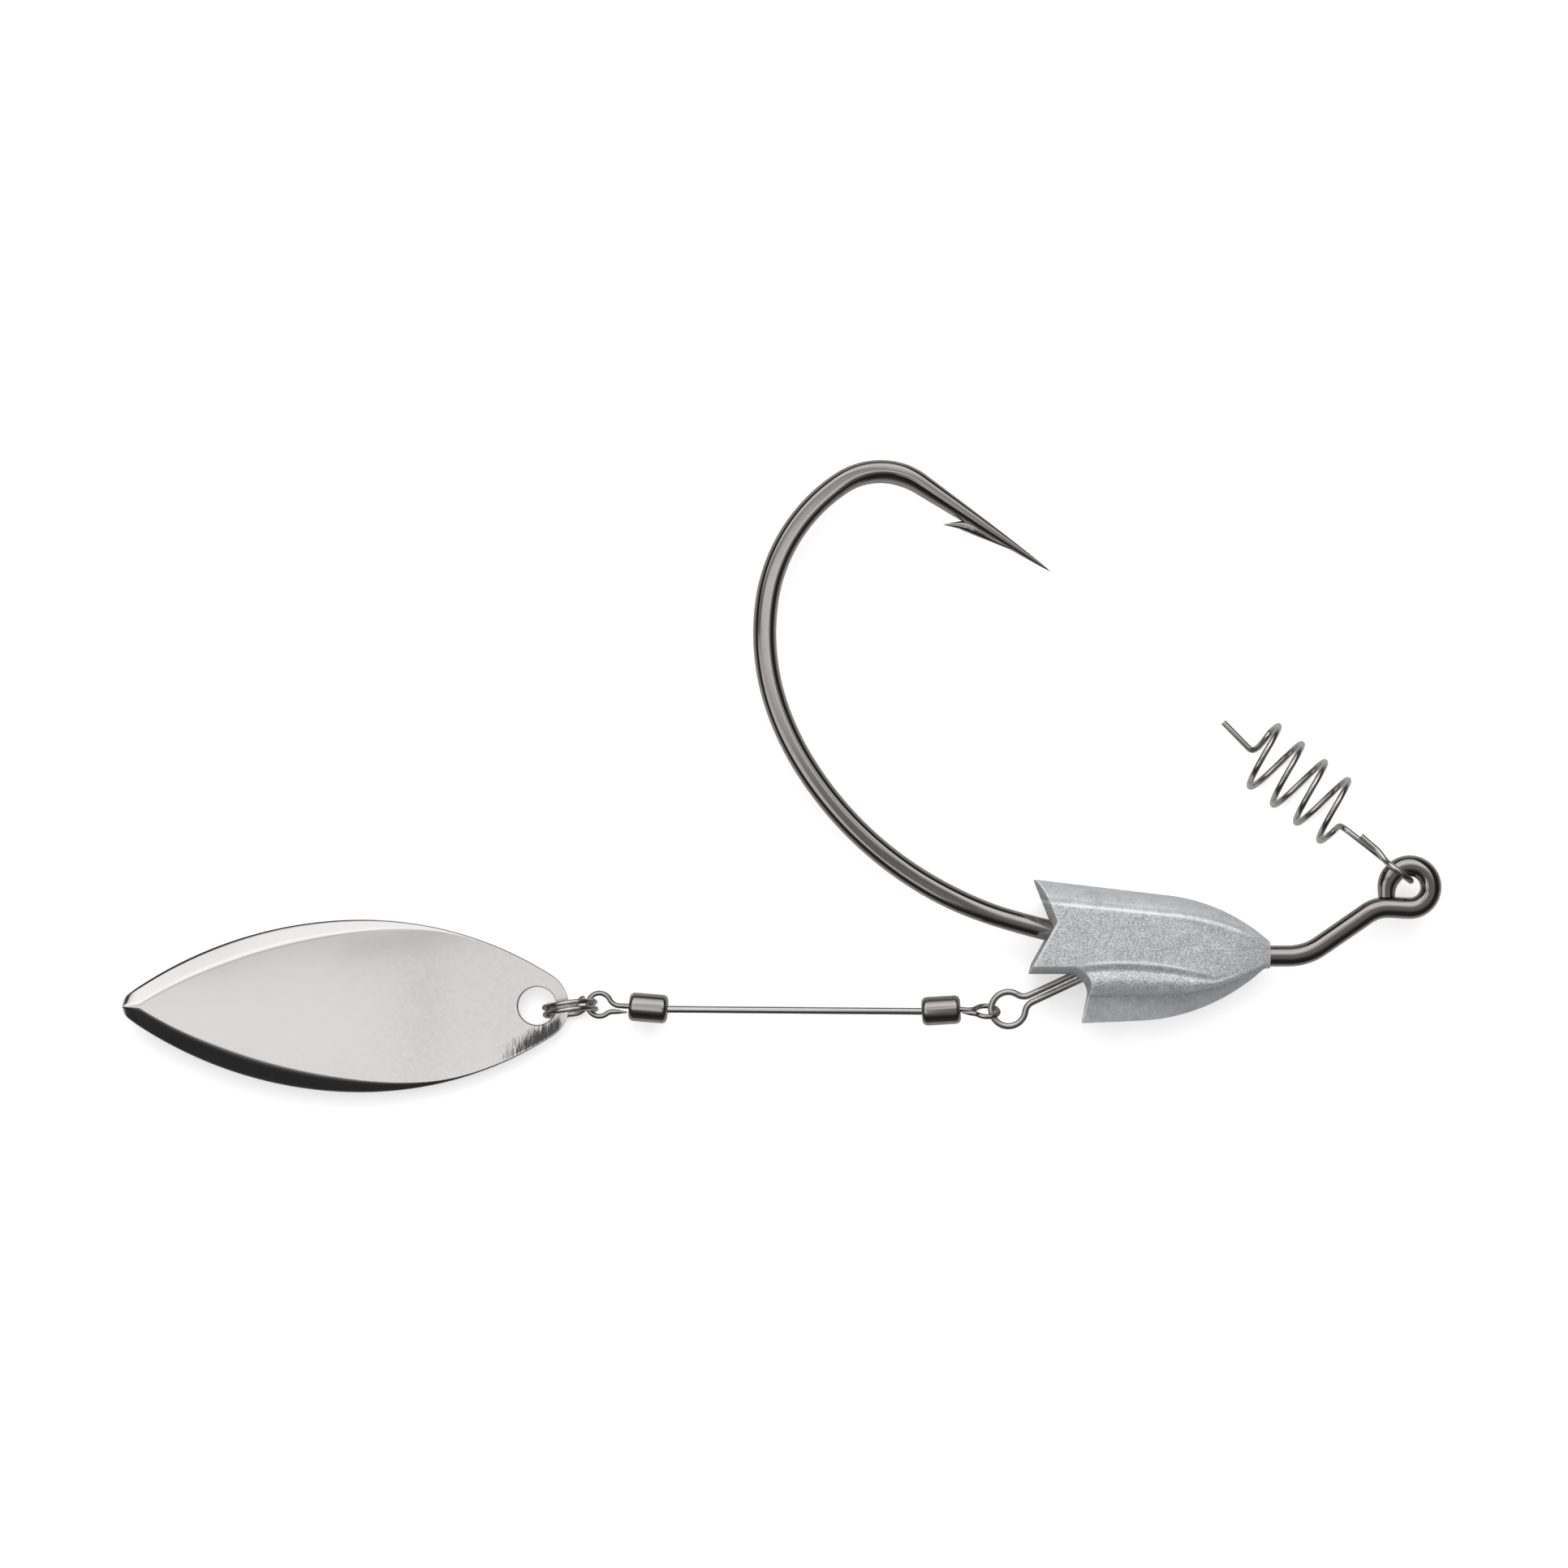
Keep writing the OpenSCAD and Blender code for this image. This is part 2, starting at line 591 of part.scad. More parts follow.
module split_ring() {
    color("#a9a7a4") translate(ring_mid) rotate([0, 0, ring_heading]) rotate([ring_lean, 0, 0])
        skin(wire_rings([for (turn = [0:14:ring_sweep])
            [ring_r*cos(ring_start + turn), -ring_side(turn), ring_r*sin(ring_start + turn)]],
            ring_wire, 8));
}

// ---- Blade: a crowned sheet with a bevelled rim; x runs back from its front end ----

half_w = blade_w/2;

// Radius of a side that is tangent to the widest place and to the rounded end it runs into
function side_radius(reach, end_r) =
    (half_w^2 + reach^2 - 2*reach*end_r)/(2*(half_w - end_r));

// Turn from the tip of an end to where it meets its side
function end_turn(reach, end_r) = atan2(side_radius(reach, end_r) - half_w, reach - end_r);

// Half width at a distance from the widest place, inside a side arc and a rounded end
function half_width(d, reach, end_r) =
    let (side_r = side_radius(reach, end_r), meet = (reach - end_r)*side_r/(side_r - end_r))
    d > meet ? sqrt(max(end_r^2 - (d - reach + end_r)^2, 0)) : half_w - side_r + sqrt(side_r^2 - d^2);

aft_len = blade_len - blade_wide_at;
function blade_half(x) = x < blade_wide_at
    ? half_width(blade_wide_at - x, blade_wide_at, front_end_r)
    : half_width(x - blade_wide_at, aft_len, tail_end_r);

// The rim is full over the tail half and runs out towards the front
rim_from = 9;
rim_run = 9;
rim_thin = 0.05;
function rim_share(x) = max(rim_thin, ease((x - rim_from)/rim_run));
function rim_band(x) = min(rim_w*rim_share(x), 0.9*blade_half(x));
function blade_height(x, y) =
    let (w = blade_half(x), swell = ease(x/10)*ease((blade_len - x)/9))
    rim_rise*rim_share(x)*min(1, (w - abs(y))/rim_band(x)) + blade_crown*swell*(1 - (y/w)^2);

// Places across half of the blade: the rim's bevel, then the panel to the middle line
function blade_across(x) =
    let (w = blade_half(x), band = rim_band(x))
    concat([w, w - band/2], [for (k = [0:3]) (w - band)*(1 - k/4)]);

// Rows along the blade: close together round the two ends
end_cuts = 5;
side_cuts = 20;
fore_row = front_end_r*(1 - cos(end_turn(blade_wide_at, front_end_r)));
aft_row = blade_len - tail_end_r*(1 - cos(end_turn(aft_len, tail_end_r)));
blade_rows = concat(
    [for (k = [1:end_cuts - 1])
        front_end_r*(1 - cos(end_turn(blade_wide_at, front_end_r)*k/end_cuts))],
    [for (k = [0:side_cuts]) fore_row + (aft_row - fore_row)*k/side_cuts],
    [for (k = [end_cuts - 1:-1:1])
        blade_len - tail_end_r*(1 - cos(end_turn(aft_len, tail_end_r)*k/end_cuts))]);

function blade_ring(x) =
    let (half = blade_across(x), all = concat(half, [0], [for (i = [5:-1:0]) -half[i]]))
    concat([for (y = all) [x, y, blade_height(x, y) + blade_t]],
           [for (i = [len(all) - 1:-1:0]) [x, all[i], blade_height(x, all[i])]]);

blade_pitch = asin(blade_lift/blade_len);
hole_x = hole_edge + hole_d/2;
bar_z = floor_z + blade_lift + 0.4;
ring_cross = sqrt(ring_r^2 - (bar_z - ring_mid.z)^2);
hole_play = 0.72;
blade_swing_pin = ring_mid
    + [ring_cross*cos(ring_heading), ring_cross*sin(ring_heading), bar_z - ring_mid.z];
blade_front = blade_swing_pin.x + hole_play + hole_edge;
blade_side = 0.42;

module willow_blade() {
    color("#d6d6d8")
        translate([blade_front, blade_swing_pin.y + blade_side, floor_z + blade_lift])
            rotate([0, -blade_pitch, 180])
                difference() {
                    skin([for (x = blade_rows) blade_ring(x)]);
                    translate([hole_x, 0, -1]) cylinder(d = hole_d, h = blade_t + 4);
                }
}

// ---- Bait keeper: loop round the line eye, leg, screw coil and centring pin ----

leg_aside = 0.5;
keeper_pin = sqrt(eye_r^2 - leg_aside^2)*[cos(keeper_dir), sin(keeper_dir)]
    + leg_aside*[sin(keeper_dir), -cos(keeper_dir)];
tag = [0, 0.1, keeper_wire + 0.01];
tag_end = 3.97;
loop_open = 50;
neck_at = 1.2 + keeper_loop_r;
coil_lead = 1.4;
pin_lead = 0.8;
pin_lean = 0.14;
pin_aside = 0.26;

function coil(turn) = let (a = 180 - 360*turn)
    [keeper_leg + coil_pitch*turn, -coil_shift - coil_r*cos(a), coil_r*sin(a)];
function coil_heading(turn) = unit(coil(turn + 0.01) - coil(turn - 0.01));
function loop_point(a) = [keeper_loop_r*cos(a), tag.y*(1 - (a - loop_open)/(360 - 2*loop_open)),
                          keeper_loop_r*sin(a)];
function loop_heading(a) = [-sin(a), 0, cos(a)];

coil_in = -0.15;
coil_out = coil_turns + 0.1;
pin_root = [keeper_leg + coil_pitch*coil_turns + pin_lead, pin_aside - coil_shift, 0];
pin_dir = unit([1, -pin_lean, 0]);
keeper_points = concat(
    [[tag_end, 0, 0] + tag, [neck_at, 0, 0] + tag],
    blend([neck_at, 0, 0] + tag, [-0.7, 0, 0], loop_point(loop_open), 0.5*loop_heading(loop_open), 6),
    [for (a = [loop_open:20:360 - loop_open]) loop_point(a)],
    blend(loop_point(360 - loop_open), 0.5*loop_heading(360 - loop_open),
          [neck_at, 0, 0], [0.7, 0, 0], 6),
    [[neck_at, 0, 0], [keeper_leg - coil_lead, 0, 0]],
    blend([keeper_leg - coil_lead, 0, 0], [1.1, 0, 0], coil(coil_in), 1.2*coil_heading(coil_in), 10),
    [for (turn = [coil_in:0.05:coil_out + 0.001]) coil(turn)],
    blend(coil(coil_out), 1.1*coil_heading(coil_out), pin_root, 0.9*pin_dir, 9),
    [pin_root, pin_root + (pin_len - 0.1)*pin_dir]);

module screw_keeper() {
    color("#c4c2bf") translate([keeper_pin.x, keeper_pin.y, 0]) rotate([0, keeper_droop, keeper_dir])
        skin(wire_rings(keeper_points, keeper_wire, 8));
}

hook();
keel_weight();
hanger_loop();
front_eye();
front_barrel();
shaft();
rear_barrel();
rear_eye();
split_ring();
willow_blade();
screw_keeper();
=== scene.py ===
"""Dressed model of a weighted wide-gap lure hook with a trailing willow blade.

Lengths in the panel, in the materials and on the stage are in metres. The pieces are worked
out in millimetres, in the same frame as the part, and become metres when they are made.
"""

import math

import bmesh
import bpy
from mathutils import Matrix, Vector


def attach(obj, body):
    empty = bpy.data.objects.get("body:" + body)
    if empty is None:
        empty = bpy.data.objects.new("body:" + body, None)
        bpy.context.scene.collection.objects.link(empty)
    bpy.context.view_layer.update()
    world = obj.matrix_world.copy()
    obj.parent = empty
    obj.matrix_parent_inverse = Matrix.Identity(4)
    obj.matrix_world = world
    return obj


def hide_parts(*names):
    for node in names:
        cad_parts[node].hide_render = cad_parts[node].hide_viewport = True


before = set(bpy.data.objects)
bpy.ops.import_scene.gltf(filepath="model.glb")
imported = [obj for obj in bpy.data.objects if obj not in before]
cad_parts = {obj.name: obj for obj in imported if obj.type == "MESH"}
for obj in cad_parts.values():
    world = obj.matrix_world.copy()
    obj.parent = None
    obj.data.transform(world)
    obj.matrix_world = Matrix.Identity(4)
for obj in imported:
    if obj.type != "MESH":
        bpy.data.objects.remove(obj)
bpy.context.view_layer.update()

bl_info = {
    "name": "Willow blade lure hook",
    "version": (1, 0, 0),
    "blender": (4, 5, 0),
    "location": "View3D > Sidebar > Lure",
    "description": "Builds the dressed pieces of a weighted hook with a trailing willow blade",
    "category": "Add Mesh",
}

MM = 0.001


# ---------------------------------------------------------------- sizes and colours


class HookSizes(bpy.types.PropertyGroup):
    """Sizes of the hook and the hanger"""

    wire: bpy.props.FloatProperty(
        name="Hook wire", description="Diameter of the hook wire",
        default=1.7 * MM, min=0.001, unit="LENGTH")
    eye_radius: bpy.props.FloatProperty(
        name="Line eye", description="Radius of the line eye to the middle of its wire",
        default=1.7 * MM, min=0.001, unit="LENGTH")
    hanger_wire: bpy.props.FloatProperty(
        name="Hanger wire", description="Diameter of the hanger wire",
        default=0.56 * MM, min=0.0003, unit="LENGTH")


class ArmSizes(bpy.types.PropertyGroup):
    """Sizes of the swivel arm, the blade and the keeper"""

    shaft_wire: bpy.props.FloatProperty(
        name="Shaft wire", description="Diameter of the straight shaft wire",
        default=0.58 * MM, min=0.0003, unit="LENGTH")
    eye_wire: bpy.props.FloatProperty(
        name="Swivel wire", description="Diameter of the swivel eyes' wire",
        default=0.46 * MM, min=0.0003, unit="LENGTH")
    barrel: bpy.props.FloatProperty(
        name="Barrel", description="Diameter of a swivel barrel",
        default=2.3 * MM, min=0.001, unit="LENGTH")
    blade_sheet: bpy.props.FloatProperty(
        name="Blade sheet", description="Thickness of the blade's sheet",
        default=0.5 * MM, min=0.0002, unit="LENGTH")
    keeper_wire: bpy.props.FloatProperty(
        name="Keeper wire", description="Diameter of the bait keeper's wire",
        default=0.5 * MM, min=0.0003, unit="LENGTH")


class FinishColours(bpy.types.PropertyGroup):
    """Colours of the metals"""

    black_nickel: bpy.props.FloatVectorProperty(
        name="Black nickel", description="Plating of the hook",
        default=(0.47, 0.445, 0.43), size=3, min=0.0, max=1.0, subtype="COLOR")
    dark_nickel: bpy.props.FloatVectorProperty(
        name="Dark nickel", description="Plating of the swivels",
        default=(0.5, 0.475, 0.46), size=3, min=0.0, max=1.0, subtype="COLOR")
    cast_alloy: bpy.props.FloatVectorProperty(
        name="Cast alloy", description="Bare cast weight",
        default=(0.6, 0.605, 0.615), size=3, min=0.0, max=1.0, subtype="COLOR")
    bright_wire: bpy.props.FloatVectorProperty(
        name="Bright wire", description="Stainless wire",
        default=(0.74, 0.72, 0.7), size=3, min=0.0, max=1.0, subtype="COLOR")
    blade_plate: bpy.props.FloatVectorProperty(
        name="Blade plate", description="Nickel plating of the blade",
        default=(0.84, 0.825, 0.82), size=3, min=0.0, max=1.0, subtype="COLOR")


def hook_sizes():
    return bpy.context.scene.lure_hook


def arm_sizes():
    return bpy.context.scene.lure_arm


def colours():
    return bpy.context.scene.lure_colours


# ---------------------------------------------------------------- paths in millimetres


def turned(place, radius, turn):
    """A place (x, y, heading, run) carried round an arc whose middle is radius to its left."""
    x, y, heading, run = place
    a, b = math.radians(heading), math.radians(heading + turn)
    return (x + radius * (math.sin(b) - math.sin(a)),
            y - radius * (math.cos(b) - math.cos(a)),
            heading + turn, run + radius * math.radians(turn))


def onward(place, piece):
    """The place at the end of one straight (length, 0) or arc (radius, turn)."""
    size, turn = piece
    if turn == 0:
        x, y, heading, run = place
        a = math.radians(heading)
        return (x + size * math.cos(a), y + size * math.sin(a), heading, run + size)
    return turned(place, math.copysign(size, turn), turn)


def follow(place, pieces, step):
    """Places along a path, about step millimetres apart."""
    out = [place]
    for size, turn in pieces:
        length = size if turn == 0 else size * math.radians(abs(turn))
        cuts = max(1, math.ceil(length / step))
        start = out[-1]
        for k in range(1, cuts + 1):
            piece = (size * k / cuts, 0) if turn == 0 else (size, turn * k / cuts)
            out.append(onward(start, piece))
    return out


def heading_back(place):
    """The same place looking the other way, with its run counted from there."""
    return (place[0], place[1], place[2] + 180, 0)


def flat_points(places):
    """The points of places along a path, at height 0."""
    return [(p[0], p[1], 0) for p in places]


def clamped(v):
    return min(max(v, 0), 1)


def ease(v):
    """A smooth step from 0 to 1."""
    t = min(max(v, 0.0), 1.0)
    return t * t * (3 - 2 * t)


def eased(v, start, run):
    """A smooth step from 0 at a start to 1 after a run."""
    return ease((v - start) / run)


def near_line(v, line, width):
    """1 on a line and less beside it."""
    return math.exp(-((v - line) / width) ** 2)


def blended(p, pd, q, qd, cuts):
    """Points between two ends of a wire that has a direction at each."""
    p, pd, q, qd = Vector(p), Vector(pd), Vector(q), Vector(qd)
    out = []
    for i in range(1, cuts):
        t = i / cuts
        s = 1 - t
        out.append(s * s * s * p + 3 * s * s * t * (p + pd) + 3 * s * t * t * (q - qd) + t * t * t * q)
    return out


# ---------------------------------------------------------------- making pieces

MERGE_METRES = 1e-7
FINE_MERGE_METRES = 1e-8


def deselect():
    if bpy.context.mode != "OBJECT":
        bpy.ops.object.mode_set(mode="OBJECT")
    bpy.ops.object.select_all(action="DESELECT")


def pick(obj):
    deselect()
    obj.select_set(True)
    bpy.context.view_layer.objects.active = obj


def merge_doubles(distance):
    """Merges the doubled points of the whole mesh, in edit mode."""
    bpy.ops.mesh.select_all(action="SELECT")
    bpy.ops.mesh.remove_doubles(threshold=distance)


def face_outwards():
    """Turns all faces outwards and leaves edit mode."""
    bpy.ops.mesh.select_all(action="SELECT")
    bpy.ops.mesh.normals_make_consistent(inside=False)
    bpy.ops.object.mode_set(mode="OBJECT")


def smooth_below(degrees):
    """Shades smooth but for edges that are sharper than an angle."""
    bpy.ops.object.shade_smooth_by_angle(angle=math.radians(degrees))


def wire(name, points, radii, sides=24):
    """A round wire drawn as a curve through points, with a radius at each, made a mesh."""
    deselect()
    bpy.ops.curve.primitive_nurbs_path_add(location=(0, 0, 0))
    obj = bpy.context.active_object
    obj.name = name
    curve = obj.data
    curve.splines.clear()
    spline = curve.splines.new("POLY")
    spline.points.add(len(points) - 1)
    for spot, point, radius in zip(spline.points, points, radii):
        spot.co = (*(Vector(point) * MM), 1.0)
        spot.radius = radius
    curve.dimensions = "3D"
    curve.twist_mode = "MINIMUM"
    curve.bevel_depth = MM
    curve.bevel_resolution = sides // 4 - 1
    curve.use_fill_caps = True
    pick(obj)
    bpy.ops.object.convert(target="MESH")
    obj = bpy.context.active_object
    bpy.ops.object.mode_set(mode="EDIT")
    merge_doubles(MERGE_METRES)
    face_outwards()
    smooth_below(40)
    return obj


def settle(obj, turn, shift):
    """Turns and moves the mesh itself, in millimetres, so the object stays at the origin."""
    matrix = Matrix.Translation(Vector(shift) * MM)
    if turn is not None:
        matrix = matrix @ turn.to_4x4()
    obj.data.transform(matrix)
    obj.data.update()


def turned_by(heading, tilt, axis):
    """A turn by a tilt about a level axis and then by a heading, both in degrees."""
    return (Matrix.Rotation(math.radians(heading), 3, "Z")
            @ Matrix.Rotation(math.radians(tilt), 3, axis))


def dress(obj, body, slot, material, *nodes):
    """Puts a finished piece on its body, with its material, in place of CAD nodes."""
    obj.data.materials.clear()
    obj.data.materials.append(material)
    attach(obj, body)
    if nodes:
        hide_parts(*nodes)
    deselect()


def lathe(name, profile, steps):
    """Spins a closed profile of (x, radius) pairs in millimetres round the X axis."""
    deselect()
    bpy.ops.mesh.primitive_plane_add(size=MM, location=(0, 0, 0))
    obj = bpy.context.active_object
    obj.name = name
    mesh = bmesh.new()
    spots = [mesh.verts.new((x * MM, 0, r * MM)) for x, r in profile]
    for a, b in zip(spots, spots[1:] + spots[:1]):
        mesh.edges.new((a, b))
    mesh.to_mesh(obj.data)
    mesh.free()
    pick(obj)
    bpy.ops.object.mode_set(mode="EDIT")
    bpy.ops.mesh.select_all(action="SELECT")
    bpy.ops.mesh.spin(steps=steps, angle=math.tau, center=(0, 0, 0), axis=(1, 0, 0))
    merge_doubles(MERGE_METRES)
    face_outwards()
    smooth_below(35)
    return obj


def grid(name, rows, columns):
    """A flat grid from -1 to 1 both ways, to be shaped point by point."""
    deselect()
    bpy.ops.mesh.primitive_grid_add(x_subdivisions=rows, y_subdivisions=columns, size=2.0,
                                    location=(0, 0, 0))
    obj = bpy.context.active_object
    obj.name = name
    return obj


def loft(name, rings):
    """A grid wrapped through closed rings of points in millimetres, closed at both ends."""
    rows, count = len(rings) - 1, len(rings[0])
    obj = grid(name, rows, count)
    for vertex in obj.data.vertices:
        row = round((vertex.co.x + 1) / 2 * rows)
        spot = round((vertex.co.y + 1) / 2 * count) % count
        vertex.co = Vector(rings[row][spot]) * MM
    bpy.ops.object.mode_set(mode="EDIT")
    merge_doubles(FINE_MERGE_METRES)
    bpy.ops.mesh.select_all(action="DESELECT")
    bpy.ops.mesh.select_non_manifold()
    bpy.ops.mesh.fill_holes(sides=0)
    face_outwards()
    return obj


def cut_away(obj, cutter):
    """Takes a cutter's shape out of a piece and removes the cutter."""
    pick(obj)
    cut = obj.modifiers.new("cut", "BOOLEAN")
    cut.operation = "DIFFERENCE"
    cut.solver = "EXACT"
    cut.object = cutter
    bpy.ops.object.modifier_apply(modifier="cut")
    bpy.data.objects.remove(cutter)


# ---------------------------------------------------------------- materials


def shader(name):
    """A new material with its node tree and its Principled node."""
    material = bpy.data.materials.new(name)
    material.use_nodes = True
    tree = material.node_tree
    return material, tree, tree.nodes["Principled BSDF"]


def fill(tree, target, inputs):
    """Links each input of a node to another's output, or sets it to a number, vector or colour."""
    for name, value in inputs.items():
        socket = target.inputs[name]
        if isinstance(value, bpy.types.NodeSocket):
            tree.links.new(value, socket)
        else:
            socket.default_value = (*value, 1) if socket.type == "RGBA" else value


def added(tree, kind, output, inputs, **settings):
    """Adds a node with its settings and inputs, and gives its named output."""
    node = tree.nodes.new("ShaderNode" + kind)
    for name, value in settings.items():
        setattr(node, name, value)
    fill(tree, node, inputs)
    return node.outputs[output]


def noise(tree, coords, scale, detail=3.0, roughness=0.6):
    return added(tree, "TexNoise", "Fac",
                 {"Vector": coords, "Scale": scale, "Detail": detail, "Roughness": roughness})


def ranged(tree, source, start, end, low=0.0, high=1.0, curve="LINEAR"):
    """A number that runs from low to high as the source goes from start to end."""
    return added(tree, "MapRange", "Result",
                 {"Value": source, "From Min": start, "From Max": end, "To Min": low, "To Max": high},
                 interpolation_type=curve)


def mixed(tree, factor, a, b, blend="MIX"):
    """A colour that goes from a to b, or to a times b, as the factor goes from 0 to 1."""
    return added(tree, "Mix", "Result", {"Factor": factor, "A": a, "B": b},
                 data_type="RGBA", blend_type=blend)


def reckoned(tree, operation, a, b):
    """A number worked out from two."""
    return added(tree, "Math", "Value", {0: a, 1: b}, operation=operation)


def product(tree, a, b):
    return reckoned(tree, "MULTIPLY", a, b)


def bumped(tree, height, strength, distance, over=None):
    """The surface's direction over a small relief, laid over another relief where one is given."""
    inputs = {"Strength": strength, "Distance": distance, "Height": height}
    if over is not None:
        inputs["Normal"] = over
    return added(tree, "Bump", "Normal", inputs)


def attribute(tree, name):
    return added(tree, "Attribute", "Fac", {}, attribute_name=name)


def object_coords(tree):
    return added(tree, "TexCoord", "Object", {})


def graded(tree, source, stops):
    """A grey that runs through (place, value) stops as the source goes from 0 to 1."""
    node = tree.nodes.new("ShaderNodeValToRGB")
    elements = node.color_ramp.elements
    for place, value in stops[1:-1]:
        elements.new(place).color = (value, value, value, 1)
    for element, (place, value) in zip((elements[0], elements[-1]), (stops[0], stops[-1])):
        element.position = place
        element.color = (value, value, value, 1)
    tree.links.new(source, node.inputs["Fac"])
    return node.outputs["Color"]


def shade(colour, amount):
    return tuple(max(0.0, min(1.0, c * amount)) for c in colour)


CLOUD_SHARE = 0.35
HAZE_SHARE = 3.2
ROUGHNESS_SHARES = (0.8, 1.3)
PEEL_STRENGTH = 0.25


def plated(name, colour, roughness, grain=2600.0, wear=0.06, peel=0.000004):
    """A plated or drawn metal: slight cloudiness, fine haze and a trace of orange peel."""
    material, tree, bsdf = shader(name)
    coords = object_coords(tree)
    cloud = noise(tree, coords, grain * CLOUD_SHARE)
    haze = noise(tree, coords, grain * HAZE_SHARE, 6.0, 0.7)
    smoother, rougher = (roughness * share for share in ROUGHNESS_SHARES)
    fill(tree, bsdf, {
        "Metallic": 1.0,
        "Base Color": mixed(tree, cloud, shade(colour, 1 - wear), shade(colour, 1 + wear)),
        "Roughness": ranged(tree, haze, 0.3, 0.7, smoother, rougher),
        "Normal": bumped(tree, haze, PEEL_STRENGTH, peel)})
    return material


STREAK_SCALE = 1400.0
STREAK_STRETCH = (9.0, 0.9, 1.0)
RUBBED_COLOUR = (0.03, 0.03, 0.03)


def streaked(material, name):
    """Darkens a plated metal in short streaks where an attribute of the piece is high."""
    tree = material.node_tree
    bsdf = tree.nodes["Principled BSDF"]
    stretched = added(tree, "Mapping", "Vector",
                      {"Vector": object_coords(tree), "Scale": STREAK_STRETCH})
    streak = ranged(tree, noise(tree, stretched, STREAK_SCALE), 0.3, 0.7, -0.32, 0.5)
    rubbed = attribute(tree, name)
    amount = product(tree, ranged(tree, reckoned(tree, "ADD", rubbed, streak), 0.3, 0.85, 0.0, 0.92),
                     ranged(tree, rubbed, 0.02, 0.12))
    plating = bsdf.inputs["Base Color"].links[0].from_socket
    fill(tree, bsdf, {"Base Color": mixed(tree, amount, plating, RUBBED_COLOUR)})


def edge_wear_and_shade(obj, passes, shape):
    """Stores how sharply each point stands out (above 0) or sits in a corner (below 0).

    The shape function may change the value at a place in millimetres, and says how smooth it is.
    """
    mesh = bmesh.new()
    mesh.from_mesh(obj.data)
    mesh.verts.ensure_lookup_table()
    around = [[edge.other_vert(vertex).index for edge in vertex.link_edges] for vertex in mesh.verts]
    spots = [vertex.co.copy() for vertex in mesh.verts]
    values = []
    for vertex, near in zip(mesh.verts, around):
        middle = sum((spots[k] for k in near), Vector()) / len(near)
        reach = sum(edge.calc_length() for edge in vertex.link_edges) / len(near)
        values.append((vertex.co - middle).dot(vertex.normal) / reach)
    mesh.free()
    for _ in range(passes):
        values = [0.5 * here + 0.5 * sum(values[k] for k in near) / len(near)
                  for here, near in zip(values, around)]
    shaped = [shape(spot / MM, value) for spot, value in zip(spots, values)]
    # Stored as wear: rubbed edges and painted highlights where high, painted shade where low
    for name, data in zip(("wear", "smooth"), zip(*shaped)):
        store = obj.data.attributes.new(name, "FLOAT", "POINT")
        store.data.foreach_set("value", data)


GRAIN_SCALE = 7000.0
MOTTLE_SCALE = 1500.0
PATCH_SCALE = 260.0
SPECKLE_SHARES = (0.56, 1.42)
MOTTLE_TONES = ((0.86, 0.86, 0.865), (1.12, 1.12, 1.12))
PATCH_TONES = ((0.93, 0.93, 0.935), (1.05, 1.05, 1.05))
# Painted shade in the corners; the last colour lightens rubbed edges and painted highlight lines
CORNER_SHADE_TONES = ((0.66, 0.66, 0.68), (1.0, 1.0, 1.0))
RUBBED_AND_HIGHLIGHT_ALLOY = (0.92, 0.92, 0.93)


def cast(name, colour):
    """Bare cast alloy: speckled and grainy, lighter on its edges where rubbed and along painted highlight
    lines, darkened by painted shade in its corners.
    """
    material, tree, bsdf = shader(name)
    coords = object_coords(tree)
    grain = noise(tree, coords, GRAIN_SCALE, 3.0, 0.7)
    mottle = noise(tree, coords, MOTTLE_SCALE, 5.0, 0.7)
    patch = noise(tree, coords, PATCH_SCALE)
    wear = attribute(tree, "wear")
    smooth = attribute(tree, "smooth")
    speckle = ranged(tree, grain, 0.34, 0.66)
    base = mixed(tree, speckle, *(shade(colour, share) for share in SPECKLE_SHARES))
    base = mixed(tree, product(tree, smooth, 0.7), base, colour)
    # The last veil is painted shade: it darkens corners and the painted shade lines, where the stored
    # value is below 0
    veils = ((ranged(tree, mottle, 0.32, 0.68), MOTTLE_TONES),
             (ranged(tree, patch, 0.35, 0.65), PATCH_TONES),
             (ranged(tree, wear, -0.1, -0.015), CORNER_SHADE_TONES))
    for amount, tones in veils:
        base = mixed(tree, 1.0, base, mixed(tree, amount, *tones), "MULTIPLY")
    # Lighter alloy where edges are rubbed, and along the painted highlight lines
    rubbed = product(tree, ranged(tree, wear, 0.035, 0.13), ranged(tree, mottle, 0.35, 0.52, 0.45))
    coarse = bumped(tree, mottle, 0.5, 0.00003)
    fill(tree, bsdf, {
        "Metallic": 0.2,
        "Base Color": mixed(tree, rubbed, base, RUBBED_AND_HIGHLIGHT_ALLOY),
        "Roughness": ranged(tree, grain, 0.3, 0.7, 0.36, 0.58),
        "Normal": bumped(tree, grain, 0.5, 0.000015, coarse)})
    return material


# ---------------------------------------------------------------- hook

# The line eye and the neck that carries it to the shank
EYE_OPEN_RADIUS = 2.0
EYE_END_LIFT = 0.44
EYE_END_SEAT = 0.12
EYE_OPEN_TURN = 60
EYE_BACK_TURN = 213
EYE_STEP = 0.12
NECK_STRAIGHT = 1.5
NECK_RADIUS = 3
NECK_SLOPE = 34.7
NECK_STEP = 0.2

# The shank, the bend as (radius, turn) arcs, and the point
SHANK_DROP = 5.52
OFFSET_RADIUS = 4.5
SHANK_STRAIGHT = 2.19
SHANK_CURVE = (71.6, -16.5)
BEND = ((28.7, -42.0), (22.5, -12.7), (18.3, -26.8), (13.6, -48.4), (5.7, -67.6))
BEND_STEP = 0.3
POINT_LENGTH = 12.6
POINT_CUTS = 60
POINT_CROWDING = 1.6
TAPER_LENGTH = 14.0
TAPER_POWER = 0.72
TIP_RUN = 0.02
EYE_END_RUN = 1.8
EYE_END_SHARE = 0.8
EYE_END_GROWTH = 0.2

